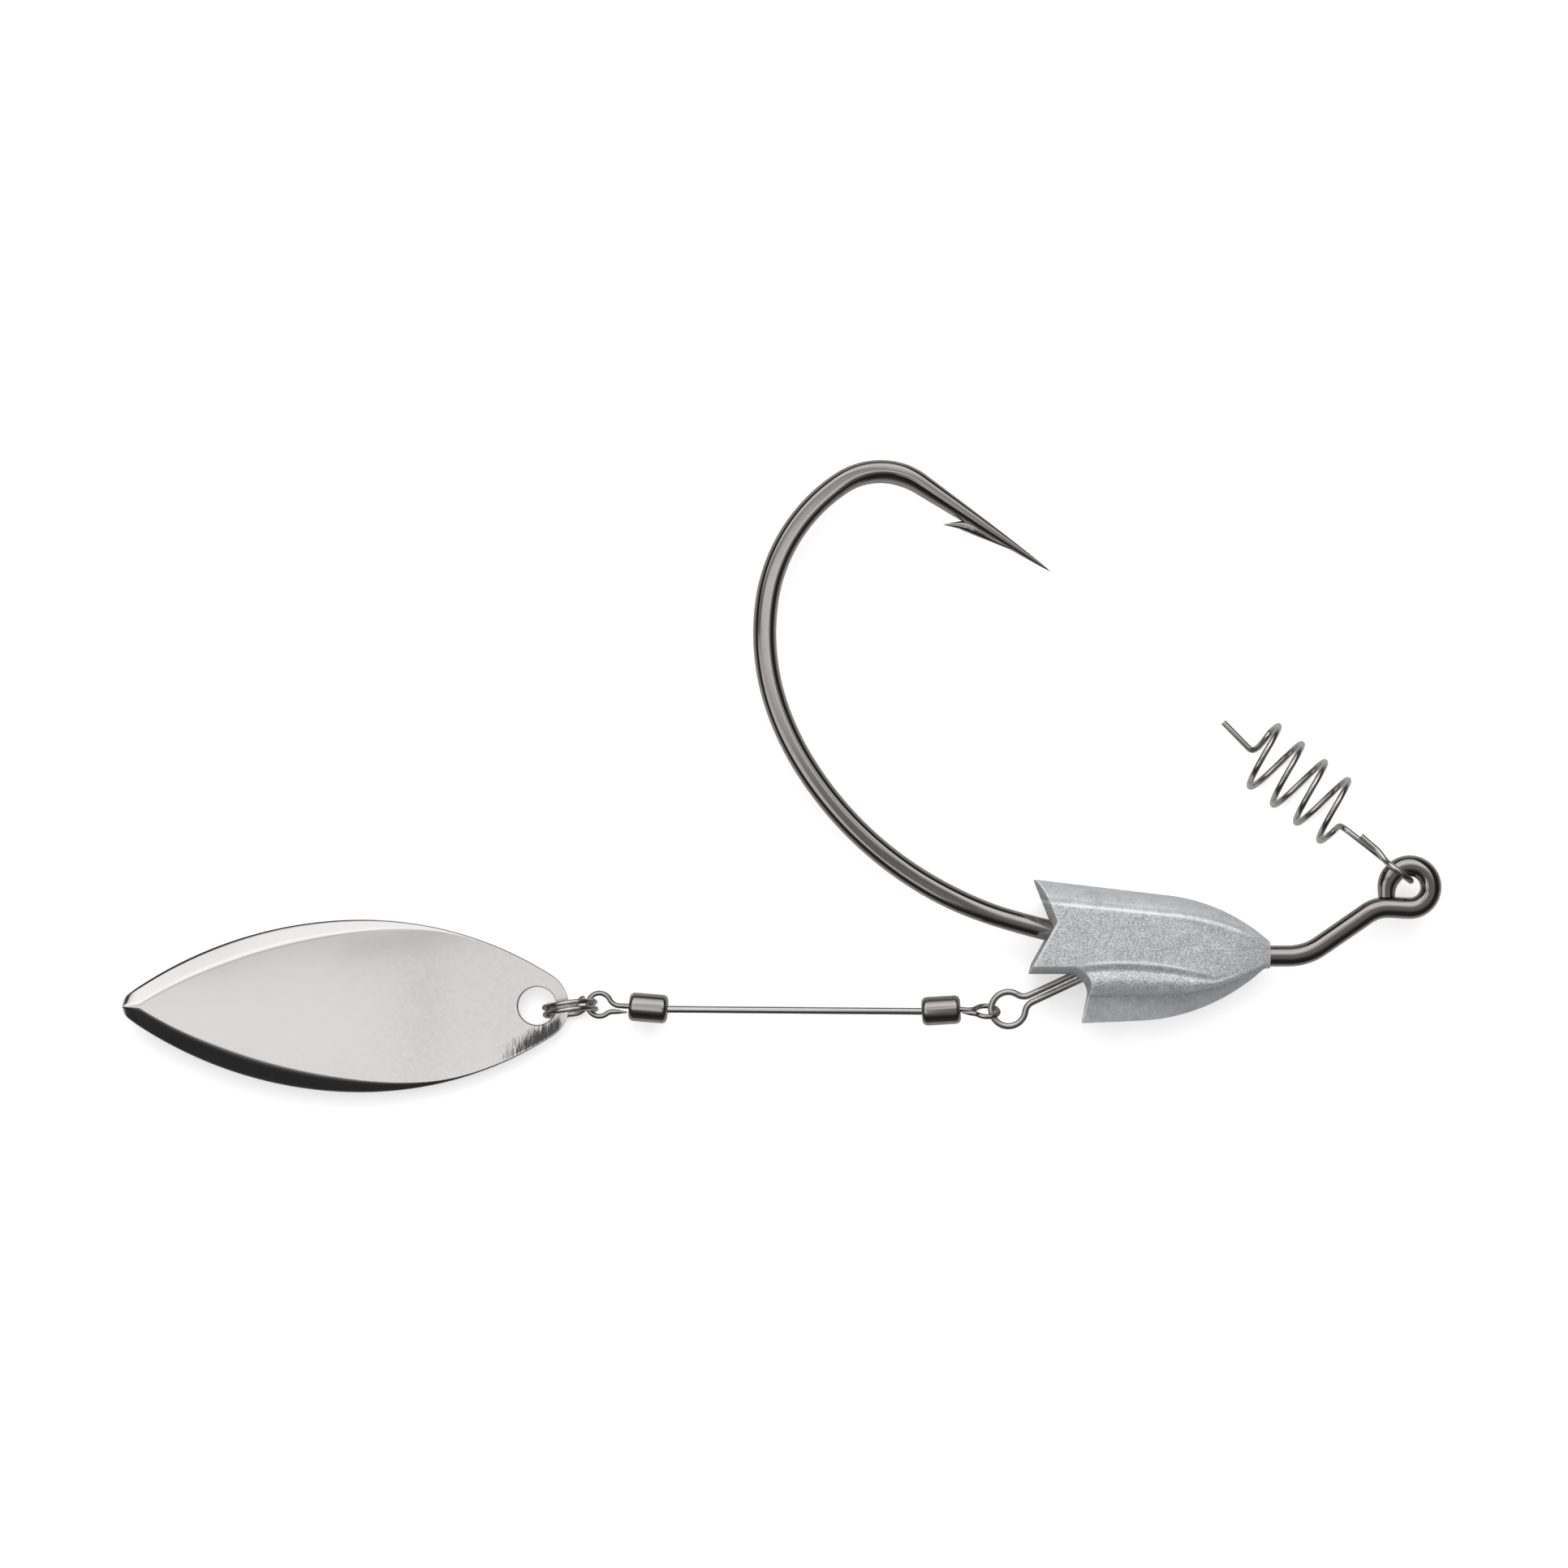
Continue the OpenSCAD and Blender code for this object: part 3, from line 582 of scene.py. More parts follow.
# The forged flats: their width, and how they fade in and lean from the shank's end. From
# FORGE_COVER inside the weight's tail the wire is left round, but for what lies beyond
# FORGE_ABOVE. Their edges are crisp from and until these distances from the ends
FORGE_SPREAD = 1.09
FORGE_EDGE = math.sin(math.radians(60))
FORGE_FADE = 6.0
FORGE_ROLL = 12.0
FORGE_COVER = 5
FORGE_ABOVE = 24
FORGE_LEAD = 8
ROLL_RUN = 12.0
CRISP_FROM = 5
CRISP_UNTIL = 6
SAME_ANGLE = 1e-3

# The ground side of the point
POINT_RUN = 21.4
POINT_FADE = 8
POINT_ROLL = 10.0
POINT_SLOPE = 0.6
POINT_RIDGE = 0.125

# The barb, a sliver that starts behind the tip and turns away from the point. Its radius is the
# least of what it has grown to, its own and what is left to its end, as (radius, per millimetre)
BARB_BACK = 2.2
BARB_TURN = 7.5
BARB_PATH = ((4.9, 0), (3.2, 26), (1.0, 0))
BARB_STEP = 0.1
BARB_RADIUS = 0.43
BARB_GROWTH = (0.03, 0.083)
BARB_END = (0.012, 0.23)
BARB_SINK = 0.26
BARB_SINK_RUN = 4


def hook_route():
    """Places along the hook wire from the eye's open end, and the run where its shank ends."""
    eye = hook_sizes().eye_radius / MM
    a = math.radians(180 - EYE_OPEN_TURN)
    start = ((eye - EYE_OPEN_RADIUS) * math.cos(a) - EYE_OPEN_RADIUS,
             (eye - EYE_OPEN_RADIUS) * math.sin(a) - EYE_END_LIFT - EYE_END_SEAT, 90, 0)
    ring = follow(start, [(EYE_END_LIFT + EYE_END_SEAT, 0), (EYE_OPEN_RADIUS, -EYE_OPEN_TURN),
                          (eye, -EYE_BACK_TURN), (NECK_STRAIGHT, 0)], EYE_STEP)
    neck_turn = NECK_SLOPE + EYE_OPEN_TURN + EYE_BACK_TURN - 270
    neck = follow(ring[-1], [(NECK_RADIUS, neck_turn)], NECK_STEP)
    drop = OFFSET_RADIUS * (1 - math.cos(math.radians(NECK_SLOPE)))
    slope = (neck[-1][1] + SHANK_DROP - drop) / math.sin(math.radians(NECK_SLOPE))
    shank = follow(neck[-1], [(slope, 0), (OFFSET_RADIUS, -NECK_SLOPE), (SHANK_STRAIGHT, 0),
                              SHANK_CURVE], BEND_STEP)
    bend = follow(shank[-1], BEND, BEND_STEP)
    point = [onward(bend[-1], (POINT_LENGTH * (1 - (1 - k / POINT_CUTS) ** POINT_CROWDING), 0))
             for k in range(1, POINT_CUTS + 1)]
    return ring + neck[1:] + shank[1:] + bend[1:] + point, shank[-1][3]


def hook_radii(route, shank_end):
    """The wire's radius along the hook: eased at the open end, spread by forging, tapered."""
    radius = hook_sizes().wire / MM / 2
    last = route[-1][3]
    radii = []
    for place in route:
        run = place[3]
        flat = ease((run - shank_end) / FORGE_FADE)
        open_end = EYE_END_SHARE + EYE_END_GROWTH * ease(run / EYE_END_RUN)
        tip = min(1, (max(last - run, TIP_RUN) / TAPER_LENGTH) ** TAPER_POWER)
        radii.append(radius * open_end * (1 + (FORGE_SPREAD - 1) * flat) * tip)
    return radii


def pressed(reach, lean, half, roll, flat):
    """Where a point of a round section goes when its side is pressed flat, as (aside, up).

    Lean is its angle from straight up. What lies within half is pressed, from 0 to 1 of the way
    to the flat, and the flat is turned over by roll.
    """
    if abs(lean) <= half + SAME_ANGLE:
        spot = (reach * math.sin(roll + lean), reach * math.cos(roll + lean))
        side, rise = lean / half * math.sin(half), math.cos(half)
        chord = (reach * (side * math.cos(roll) + rise * math.sin(roll)),
                 reach * (rise * math.cos(roll) - side * math.sin(roll)))
        return [p + (q - p) * flat for p, q in zip(spot, chord)]
    edge = math.copysign(half, lean)
    end = math.copysign(math.pi / 2, lean)
    lean = end + (lean - end) * (roll + edge - end) / (edge - end)
    return (reach * math.sin(lean), reach * math.cos(lean))


def forge(obj, route, shank_end):
    """Presses two flats on the sides of the wire from behind the weight to the point.

    The flats' edges stay on the same lines of the mesh; the flats lean near the weight and on
    the point, where the barb's side is also ground away below a ridge.
    """
    half = math.acos(FORGE_EDGE)
    last = route[-1][3]
    hidden = WEIGHT_NOSE[0] - WEIGHT_LENGTH + FORGE_COVER
    bend = [p for p in route if p[3] > shank_end - FORGE_LEAD]
    crisp = set()
    for vertex in obj.data.vertices:
        x, y, z = (c / MM for c in vertex.co)
        if x > hidden and y < FORGE_ABOVE:
            continue
        near = min(bend, key=lambda p: (p[0] - x) ** 2 + (p[1] - y) ** 2)
        run = near[3]
        ground = ease((run - last + POINT_RUN) / POINT_FADE)
        roll = FORGE_ROLL * (1 - clamped((run - shank_end) / ROLL_RUN) ** 2) + POINT_ROLL * ground
        roll = math.radians(roll)
        a = math.radians(near[2])
        left = Vector((-math.sin(a), math.cos(a)))
        aside = (x - near[0]) * left.x + (y - near[1]) * left.y
        reach = math.hypot(aside, z)
        lean = math.atan2(aside, abs(z))
        on_edge = abs(lean - half) < SAME_ANGLE
        if on_edge and shank_end + CRISP_FROM < run < last - POINT_RUN - CRISP_UNTIL:
            crisp.add(vertex.index)
        spot = pressed(reach, lean, half, roll, ease((run - shank_end) / FORGE_FADE))
        crease = reach * (math.sin(roll) * FORGE_EDGE - POINT_RIDGE * math.cos(roll))
        fall = ground * POINT_SLOPE * max(0.0, crease - spot[0])
        shift = left * (spot[0] - aside) * MM
        height = (math.copysign(spot[1], z) - fall) * MM
        vertex.co = (vertex.co.x + shift.x, vertex.co.y + shift.y, height)
    pick(obj)
    smooth_below(55)
    for edge in obj.data.edges:
        if edge.vertices[0] in crisp and edge.vertices[1] in crisp:
            edge.use_edge_sharp = True


def raise_barb(tip, finish):
    """Lifts the barb out of the point, as a sliver that turns away from it."""
    foot = onward(heading_back(tip), (BARB_BACK, 0))
    sliver = follow((foot[0], foot[1], foot[2] + BARB_TURN, 0), BARB_PATH, BARB_STEP)
    reach = sliver[-1][3]
    points, radii = [], []
    for x, y, _, run in sliver:
        points.append((x, y, -BARB_SINK * ease(run / BARB_SINK_RUN)))
        grown = BARB_GROWTH[0] + BARB_GROWTH[1] * run
        radii.append(min(grown, BARB_RADIUS, BARB_END[0] + BARB_END[1] * (reach - run)))
    dress(wire("hook_barb", points, radii), "lure_hook", "black_nickel", finish)


class LURE_OT_hook(bpy.types.Operator):
    """Draws the hook: open eye, offset shank, forged wide bend, needle point and barb"""

    bl_idname = "lure.hook"
    bl_label = "Hook"

    def execute(self, context):
        route, shank_end = hook_route()
        obj = wire("hook_wire", flat_points(route), hook_radii(route, shank_end), sides=48)
        forge(obj, route, shank_end)
        finish = plated("black_nickel", colours().black_nickel, 0.09, 1500.0, 0.05)
        dress(obj, "lure_hook", "black_nickel", finish, "hook")
        raise_barb(route[-1], finish)
        return {"FINISHED"}


# ---------------------------------------------------------------- weight

WEIGHT_NOSE = (-11.1966, -5.52)
WEIGHT_LENGTH = 19.5
TAIL_X = WEIGHT_NOSE[0] - WEIGHT_LENGTH
HALF_THICKNESS = 3.75
BACK_HEIGHT = 4.84
KEEL_HEIGHT = 5.18
FIN_THICKNESS = 2.3
RIDGE = 0.7
PANEL_STEP = 0.3
GROOVE = 0.42
NOSE_COVER = 0.15

# Lines along the weight: height, where the nose's curve ends, rise behind it, curve's radius
TOP_LINE = (BACK_HEIGHT, 8, 0.119, 13)
CREASE_LINE = (BACK_HEIGHT - 1.39, 8, 0.1, 19)
SIDE_LINE = (HALF_THICKNESS, 9, 0, 16.6)
VALLEY_LINE = (KEEL_HEIGHT - 2.04, 9.2, 0, 17)
FOOT_LINE = (KEEL_HEIGHT, 10.4, 0.043, 15)
CREASE_LEAST = 0.6
VALLEY_LEAST = 0.7
PANEL_FOOT = 0.7
PANEL_FOOT_SHARE = 0.7
PANEL_SAG = 0.02
PANEL_SAG_MID = 12
PANEL_CUTS = (2, 2, 12, 2, 3)

# The section: where its forms grow behind the nose as (start, run), its shares of its own
# height and width, and the cuts of its edges
PANEL_GROWTH = (1, 5)
GROOVE_GROWTH = (3, 4)
FIN_SHARE = 0.9
CREST_SHARE = 0.42
SWELL_SHARE = 0.45
GROOVE_WALL_SHARE = 0.16
UPPER_EDGE = (0.08, 0.06)
UPPER_EDGE_END = (0.3, 0.02)
LOWER_EDGE = (0.18, 0.1)
FIN_FOOT = (0.25, 0.7)
BEVEL_TURN = 85
BEVEL_CUTS = 14
SWELL_CUTS = 16
FOOT_CUTS = 8

# The cast skin's wear and painted light: painted highlight and painted shade lines as (place,
# width), how strong they are, and where they grow behind the nose as (start, run)
CREASE_HIGHLIGHT = (-0.1, 0.16)
FOOT_HIGHLIGHT = (0.27, 0.12)
PAINTED_HIGHLIGHT_STRENGTH = 0.17
CREASE_SHADE_LINE = (0.22, 0.14)
CREASE_SHADE_STRENGTH = 0.06
NOSE_SHADE_SPOT = ((5.4, 1.7), (-2.2, 0.75))
NOSE_SHADE_STRENGTH = 0.09
CREASE_HIGHLIGHT_GROWTH = (0.8, 2)
FOOT_HIGHLIGHT_GROWTH = (4.5, 3)
FOOT_HIGHLIGHT_END = (17, 4)
LOWER_WEAR_GROWTH = (3.5, 4)
UPPER_SMOOTH_FADE = 0.2
LOWER_SMOOTH_FADE = 0.25
LOWER_SMOOTH_GAP = 0.1

# The vee in the tail and the hollow behind the fin
VEE_DEPTH = 2.1
VEE_HEIGHT = 2.15
VEE_ANGLES = (21.8, 29)
VEE_REACH = 12
FIN_SETBACK = 4.85
HOLLOW_RADIUS = 1.6
HOLLOW_TOP = 1.45
HOLLOW_LEAD = 0.6
HOLLOW_BACK = 6
TAIL_DRAFT = (0.3, 0.65)
CUTTER_OVER = 0.5

# Where the sections stand behind the nose, past the tail too, which the cutters then shape
NOSE_STATIONS = [0.004, 0.1, 0.2]
FIRST_STATION = 0.3
TAIL_OVER = 0.1
SECTION_COUNT = 110
SKIN_VOXEL = 0.092


def ogive(back, height, run, rise, r):
    """Height of a long curve behind the nose: a straight run faired by an arc."""
    if back > run:
        return height + rise * (back - run)
    return height - rise * (run - back) - (r - math.sqrt(r * r - (run - back) ** 2))


def crease_height(s):
    """Height of the crease over the panel, s behind the nose."""
    return max(CREASE_LEAST, ogive(s, *CREASE_LINE))


def valley_depth(s):
    """Depth of the line where the groove meets the fin."""
    return max(VALLEY_LEAST, ogive(s, *VALLEY_LINE))


def panel_foot(s):
    """Depth of the panel's lower edge, which sags towards both ends."""
    sagged = PANEL_FOOT + PANEL_SAG * (s - PANEL_SAG_MID) ** 2
    return min(sagged, valley_depth(s) * PANEL_FOOT_SHARE)


def fan(count, turn):
    """Angles from 0 to a turn in equal steps."""
    return [turn * k / count for k in range(count + 1)]


def weight_half(s):
    """Half of the weight's section from the ridge down to the fin, as (height, out) points."""
    nose = hook_sizes().wire / MM / 2 + NOSE_COVER
    top = max(nose, ogive(s, *TOP_LINE))
    crease, valley, low = crease_height(s), valley_depth(s), panel_foot(s)
    side = max(nose, ogive(s, *SIDE_LINE))
    foot = max(nose, ogive(s, *FOOT_LINE))
    grow = clamped((s - PANEL_GROWTH[0]) / PANEL_GROWTH[1])
    step = PANEL_STEP * grow
    groove = GROOVE * clamped((s - GROOVE_GROWTH[0]) / GROOVE_GROWTH[1])
    ridge = RIDGE / 2
    fin = min(FIN_THICKNESS / 2, side * FIN_SHARE)
    crest = low + CREST_SHARE * (valley - low)
    swell = side - groove * SWELL_SHARE

    # The upper bevel, then the panel with its two rounded edges down to the groove
    points = [(crease + (top - crease) * math.cos(a), ridge + (side - step - ridge) * math.sin(a))
              for a in fan(BEVEL_CUTS, math.radians(BEVEL_TURN))]
    panel = [(crease - UPPER_EDGE[0] * grow, side - UPPER_EDGE[1] * grow),
             (crease - UPPER_EDGE_END[0] * grow - UPPER_EDGE_END[1], side),
             (-low + LOWER_EDGE[0], side), (-low, side - LOWER_EDGE[1] * grow),
             (-low - GROOVE_WALL_SHARE * (valley - low), side - groove)]
    for (h0, o0), (h1, o1), cuts in zip([points[-1]] + panel, panel, PANEL_CUTS):
        points += [(h0 + (h1 - h0) * k / cuts, o0 + (o1 - o0) * k / cuts) for k in range(1, cuts + 1)]

    # The lower bevel, which swells before it turns in to the fin, and the fin's rounded foot
    points += [(-crest - (valley - crest) * math.sin(a), fin + (swell - fin) * math.cos(a))
               for a in fan(SWELL_CUTS, math.pi / 2)]
    points += [(-valley - (foot - valley) * (1 - math.cos(a)),
                fin * (FIN_FOOT[0] + FIN_FOOT[1] * math.cos(a))) for a in fan(FOOT_CUTS, math.pi / 2)[1:]]
    return points


def cast_wear_and_shade(spot, wear):
    """Painted highlights are strongest along the upper crease, with painted shade just over it and on the
    nose's lower bevel; these and the edge wear fade at the nose; the bevel is smoother.
    """
    s = min(max(WEIGHT_NOSE[0] - spot.x, 0.3), WEIGHT_LENGTH)
    height = spot.y - WEIGHT_NOSE[1]
    crease, valley, low = crease_height(s), valley_depth(s), panel_foot(s)
    # Painted highlights along the crease and at the panel's foot, painted shade just over the crease
    from_nose = eased(s, *CREASE_HIGHLIGHT_GROWTH)
    # A painted highlight line along the crease
    line = near_line(height - crease, *CREASE_HIGHLIGHT) * from_nose
    # Painted shade just over the crease
    under = near_line(height - crease, *CREASE_SHADE_LINE) * from_nose
    # A painted highlight line along the panel's foot
    end = ease((FOOT_HIGHLIGHT_END[0] - s) / FOOT_HIGHLIGHT_END[1])
    lip = near_line(height + low, *FOOT_HIGHLIGHT) * eased(s, *FOOT_HIGHLIGHT_GROWTH) * end
    if height < 0:
        wear *= eased(s, *LOWER_WEAR_GROWTH)
    # Painted shade on the lower bevel behind the nose
    (along, along_width), (up, up_width) = NOSE_SHADE_SPOT
    nose_shade = math.exp(-((s - along) / along_width) ** 2 - ((height - up) / up_width) ** 2)
    wear -= NOSE_SHADE_STRENGTH * nose_shade
    smooth = max(ease((height - crease) / UPPER_SMOOTH_FADE),
                 ease((-height - valley - LOWER_SMOOTH_GAP) / LOWER_SMOOTH_FADE))
    # Rubbed convex edges are real wear; the crease and foot lines are painted highlights, and what falls
    # below 0 is painted shade
    bright = max(wear, PAINTED_HIGHLIGHT_STRENGTH * line, PAINTED_HIGHLIGHT_STRENGTH * lip)
    return bright - CREASE_SHADE_STRENGTH * under, smooth


def weight_ring(s):
    """A whole section of the weight, s behind its nose."""
    half = weight_half(s)
    x, y = WEIGHT_NOSE[0] - s, WEIGHT_NOSE[1]
    return ([(x, y + h, -out) for h, out in half] + [(x, y + h, out) for h, out in reversed(half)])


def drafted_cutter(name, outline):
    """A cutter whose sides lean back from the parting line on both faces of the weight."""
    reach = HALF_THICKNESS + CUTTER_OVER
    lean = reach / HALF_THICKNESS
    return loft(name, [[(x + TAIL_DRAFT[0] * abs(side) * lean, y + TAIL_DRAFT[1] * abs(side) * lean,
                         side * reach) for x, y in outline] for side in (-1, 0, 1)])


def vee_outline():
    """Outline of the cutter for the vee in the tail."""
    apex = (TAIL_X + VEE_DEPTH, WEIGHT_NOSE[1] + VEE_HEIGHT)
    up, down = (math.radians(a) for a in VEE_ANGLES)
    away = ((math.sin(up), math.cos(up)), (3, math.cos(up)),
            (3, -math.cos(down)), (math.sin(down), -math.cos(down)))
    return [apex] + [(apex[0] - VEE_REACH * a, apex[1] + VEE_REACH * b) for a, b in away]


def hollow_outline():
    """Outline of the cutter for the hollow behind the fin, with its round corner."""
    under = WEIGHT_NOSE[1] - HOLLOW_TOP
    mid = (TAIL_X + FIN_SETBACK - HOLLOW_RADIUS, under - HOLLOW_RADIUS)
    below = WEIGHT_NOSE[1] - KEEL_HEIGHT - 1
    back = TAIL_X - HOLLOW_BACK
    corner = [(mid[0] + HOLLOW_RADIUS * math.cos(math.radians(a)),
               mid[1] + HOLLOW_RADIUS * math.sin(math.radians(a))) for a in range(0, 91, 5)]
    return [(back, below), (mid[0] + HOLLOW_RADIUS - HOLLOW_LEAD, below)] + corner + [(back, under)]


class LURE_OT_weight(bpy.types.Operator):
    """Casts the weight: panels, bevels, groove and fin, with softened edges and a cast skin that carries
    painted highlights and painted shade
    """

    bl_idname = "lure.weight"
    bl_label = "Keel weight"

    def execute(self, context):
        stations = NOSE_STATIONS + [FIRST_STATION + (WEIGHT_LENGTH + TAIL_OVER) * k / SECTION_COUNT
                                    for k in range(SECTION_COUNT + 1)]
        obj = loft("cast_weight", [weight_ring(s) for s in stations])
        cut_away(obj, drafted_cutter("vee_cutter", vee_outline()))
        cut_away(obj, drafted_cutter("hollow_cutter", hollow_outline()))
        remesh = obj.modifiers.new("skin", "REMESH")
        remesh.mode = "VOXEL"
        remesh.voxel_size = SKIN_VOXEL * MM
        soften = obj.modifiers.new("soften", "SMOOTH")
        soften.factor = 0.5
        soften.iterations = 2
        for modifier in ("skin", "soften"):
            bpy.ops.object.modifier_apply(modifier=modifier)
        bpy.ops.object.shade_smooth()
        edge_wear_and_shade(obj, 2, cast_wear_and_shade)
        dress(obj, "lure_hook", "cast_alloy", cast("cast_alloy", colours().cast_alloy), "keel_weight")
        return {"FINISHED"}


# ---------------------------------------------------------------- hanger

# Linked wires are drawn this much thinner in radius, and the blade's hole is as much wider for
# each of the two, so that round wires stay clear of each other
LINK_EASE = 0.018

HANGER_MID = (TAIL_X - 1.45, -9.78)
HANGER_RADIUS = 1.37
HANGER_NECK = 1.0
HANGER_SLOPE = 25.0
HANGER_LEG = 4.9
HANGER_KINK_RADIUS = 1.5
HANGER_ANCHOR = 4.0
HANGER_ANCHOR_SLOPE = 4
HANGER_GAP = 0.02
HANGER_LEG_STEP = 0.2
HANGER_LOOP_STEP = 0.08


def hanger_leg(root, side, aside):
    """Places along one leg of the hanger, from its loop into the weight."""
    slope = math.radians(HANGER_SLOPE)
    start = (root[0] - side * aside * math.sin(slope),
             root[1] + side * aside * math.cos(slope), HANGER_SLOPE, 0)
    kink = (HANGER_KINK_RADIUS + side * aside, -(HANGER_SLOPE + HANGER_ANCHOR_SLOPE))
    return follow(start, [(HANGER_LEG, 0), kink, (HANGER_ANCHOR, 0)], HANGER_LEG_STEP)


class LURE_OT_hanger(bpy.types.Operator):
    """Bends the hanger's loop and its two legs, which the weight is cast on"""

    bl_idname = "lure.hanger"
    bl_label = "Hanger loop"

    def execute(self, context):
        wire_d = hook_sizes().hanger_wire / MM
        aside = wire_d / 2 + HANGER_GAP
        span = HANGER_NECK + HANGER_RADIUS
        turn_in = math.degrees(math.acos((aside + HANGER_NECK) / span))
        reach = span * math.sin(math.radians(turn_in))
        slope = math.radians(HANGER_SLOPE)
        root = (HANGER_MID[0] + reach * math.cos(slope), HANGER_MID[1] + reach * math.sin(slope))
        upper, lower = hanger_leg(root, 1, aside), hanger_leg(root, -1, aside)
        bends = [(HANGER_NECK, -turn_in), (HANGER_RADIUS, 180 + 2 * turn_in), (HANGER_NECK, -turn_in)]
        loop = follow(heading_back(upper[0]), bends, HANGER_LOOP_STEP)
        points = flat_points(upper[::-1] + loop[1:] + lower[1:])
        obj = wire("hanger_wire", points, [wire_d / 2 - LINK_EASE] * len(points))
        finish = plated("bright_wire", colours().bright_wire, 0.26)
        dress(obj, "lure_hook", "bright_wire", finish, "hanger_loop")
        return {"FINISHED"}


# ---------------------------------------------------------------- swivel arm

LOOP_RADIUS = 0.93
LOOP_NECK = 0.9
LOOP_TAIL_GAP = 0.03
LOOP_TAIL_SHORT = 0.15
LOOP_CURVE_STEP = 0.07
TAIL_TAPER = (0.4, 0.6)
FRONT_STEM = 0.5
REAR_STEM = 0.8
FRONT_ROLL = 26.0
BARREL_LENGTH = 3.1
BARREL_WALL = 0.26
BARREL_ROUND = 0.42
SHAFT_LENGTH = 20.4
HEAD_RADIUS = 0.575
HEAD_LENGTH = 0.5
HEAD_ROUND = (0.05, 0.06)
HEAD_PLAY = 0.12
RUN_GAP = 0.06
LINK_GAP = 0.04
FLOOR_Z = -3.75
ARM_HEADINGS = (176, 183.4, 179.6, 175.3, 177)
ARM_ASIDE = 0.2
RING_WIRE = 0.46
RING_DIAMETER = 4.55
COIL_GAP = 0.1
RING_LEAN = 7.0
RING_YAW = 10.0


def arm():
    """Joint places, lengths and fall of the arm, and where the ring hangs on its end."""
    eye_wire = arm_sizes().eye_wire / MM
    span = LOOP_NECK + LOOP_RADIUS
    stem_bend = math.degrees(math.acos(LOOP_NECK / span))
    eye_neck = span * math.sin(math.radians(stem_bend))
    link = hook_sizes().hanger_wire / MM / 2 + eye_wire / 2 + LINK_GAP
    front_neck = LOOP_RADIUS - link + eye_neck
    lengths = (front_neck + FRONT_STEM + BARREL_WALL / 2,
               BARREL_LENGTH - BARREL_WALL, SHAFT_LENGTH + BARREL_WALL,
               BARREL_LENGTH - BARREL_WALL, BARREL_WALL / 2 + REAR_STEM + eye_neck)
    ring_r = (RING_DIAMETER - RING_WIRE) / 2
    coil = (RING_WIRE + COIL_GAP) / 2
    lean = math.radians(RING_LEAN)
    ring_z = FLOOR_Z + ring_r * math.cos(lean) + RING_WIRE / 2 + coil * math.sin(lean)
    fall = math.asin(-ring_z / sum(lengths))
    points = [Vector((HANGER_MID[0] - HANGER_RADIUS, HANGER_MID[1] - ARM_ASIDE, 0))]
    for length, heading in zip(lengths, ARM_HEADINGS):
        h = math.radians(heading)
        points.append(points[-1] + length * Vector((math.cos(fall) * math.cos(h),
                                                    math.cos(fall) * math.sin(h),
                                                    -math.sin(fall))))
    bite = math.sqrt((LOOP_RADIUS - eye_wire / 2 - RING_WIRE / 2 - LINK_GAP) ** 2 - coil ** 2)
    ring_heading = ARM_HEADINGS[4] + RING_YAW
    h = math.radians(ring_heading)
    ring_mid = points[5] + (bite + ring_r) * Vector((math.cos(h), math.sin(h), 0))
    return {"points": points, "lengths": lengths, "fall": fall, "front_neck": front_neck,
            "eye_neck": eye_neck, "stem_bend": stem_bend, "ring_mid": ring_mid,
            "ring_r": ring_r, "coil": coil, "ring_heading": ring_heading}


def on_arm(obj, k, inner=None):
    """Puts a piece drawn along +X at its place on the arm."""
    laid = arm()
    turn = (Matrix.Rotation(math.radians(ARM_HEADINGS[k]), 3, "Z")
            @ Matrix.Rotation(laid["fall"], 3, "Y"))
    if inner is not None:
        obj.data.transform(inner)
    settle(obj, turn, laid["points"][k])


def upset_head(start, wire_radius):
    """Places along X and radii of the head that is rolled on the start of a wire."""
    long, deep = HEAD_ROUND
    xs = [start, start + long, start + HEAD_LENGTH - long, start + HEAD_LENGTH,
          start + HEAD_LENGTH + 0.01]
    return xs, [HEAD_RADIUS - deep, HEAD_RADIUS, HEAD_RADIUS, HEAD_RADIUS - deep, wire_radius]


def swivel_eye(name, outside):
    """A headed stem, its loop and the tapered tail, drawn as one bent wire."""
    eye_wire = arm_sizes().eye_wire / MM
    laid = arm()
    tail_gap = eye_wire + LOOP_TAIL_GAP
    span = LOOP_NECK + LOOP_RADIUS
    tail_bend = math.degrees(math.acos((LOOP_NECK + tail_gap) / span))
    tail_run = laid["eye_neck"] - span * math.sin(math.radians(tail_bend)) + outside - LOOP_TAIL_SHORT
    head = outside + BARREL_WALL + HEAD_PLAY + HEAD_LENGTH
    route = follow((0, 0, 0, 0), [(LOOP_NECK, laid["stem_bend"]),
                                  (LOOP_RADIUS, -180 - laid["stem_bend"] - tail_bend),
                                  (LOOP_NECK, tail_bend), (tail_run, 0)],
                   LOOP_CURVE_STEP)
    xs, radii = upset_head(-head, eye_wire / 2)
    end = route[-1][3]
    tip, rest = TAIL_TAPER
    radii += [(eye_wire / 2 - LINK_EASE) * (tip + rest * ease((end - place[3]) / tail_run))
              for place in route]
    return wire(name, [(x, 0, 0) for x in xs] + flat_points(route), radii)


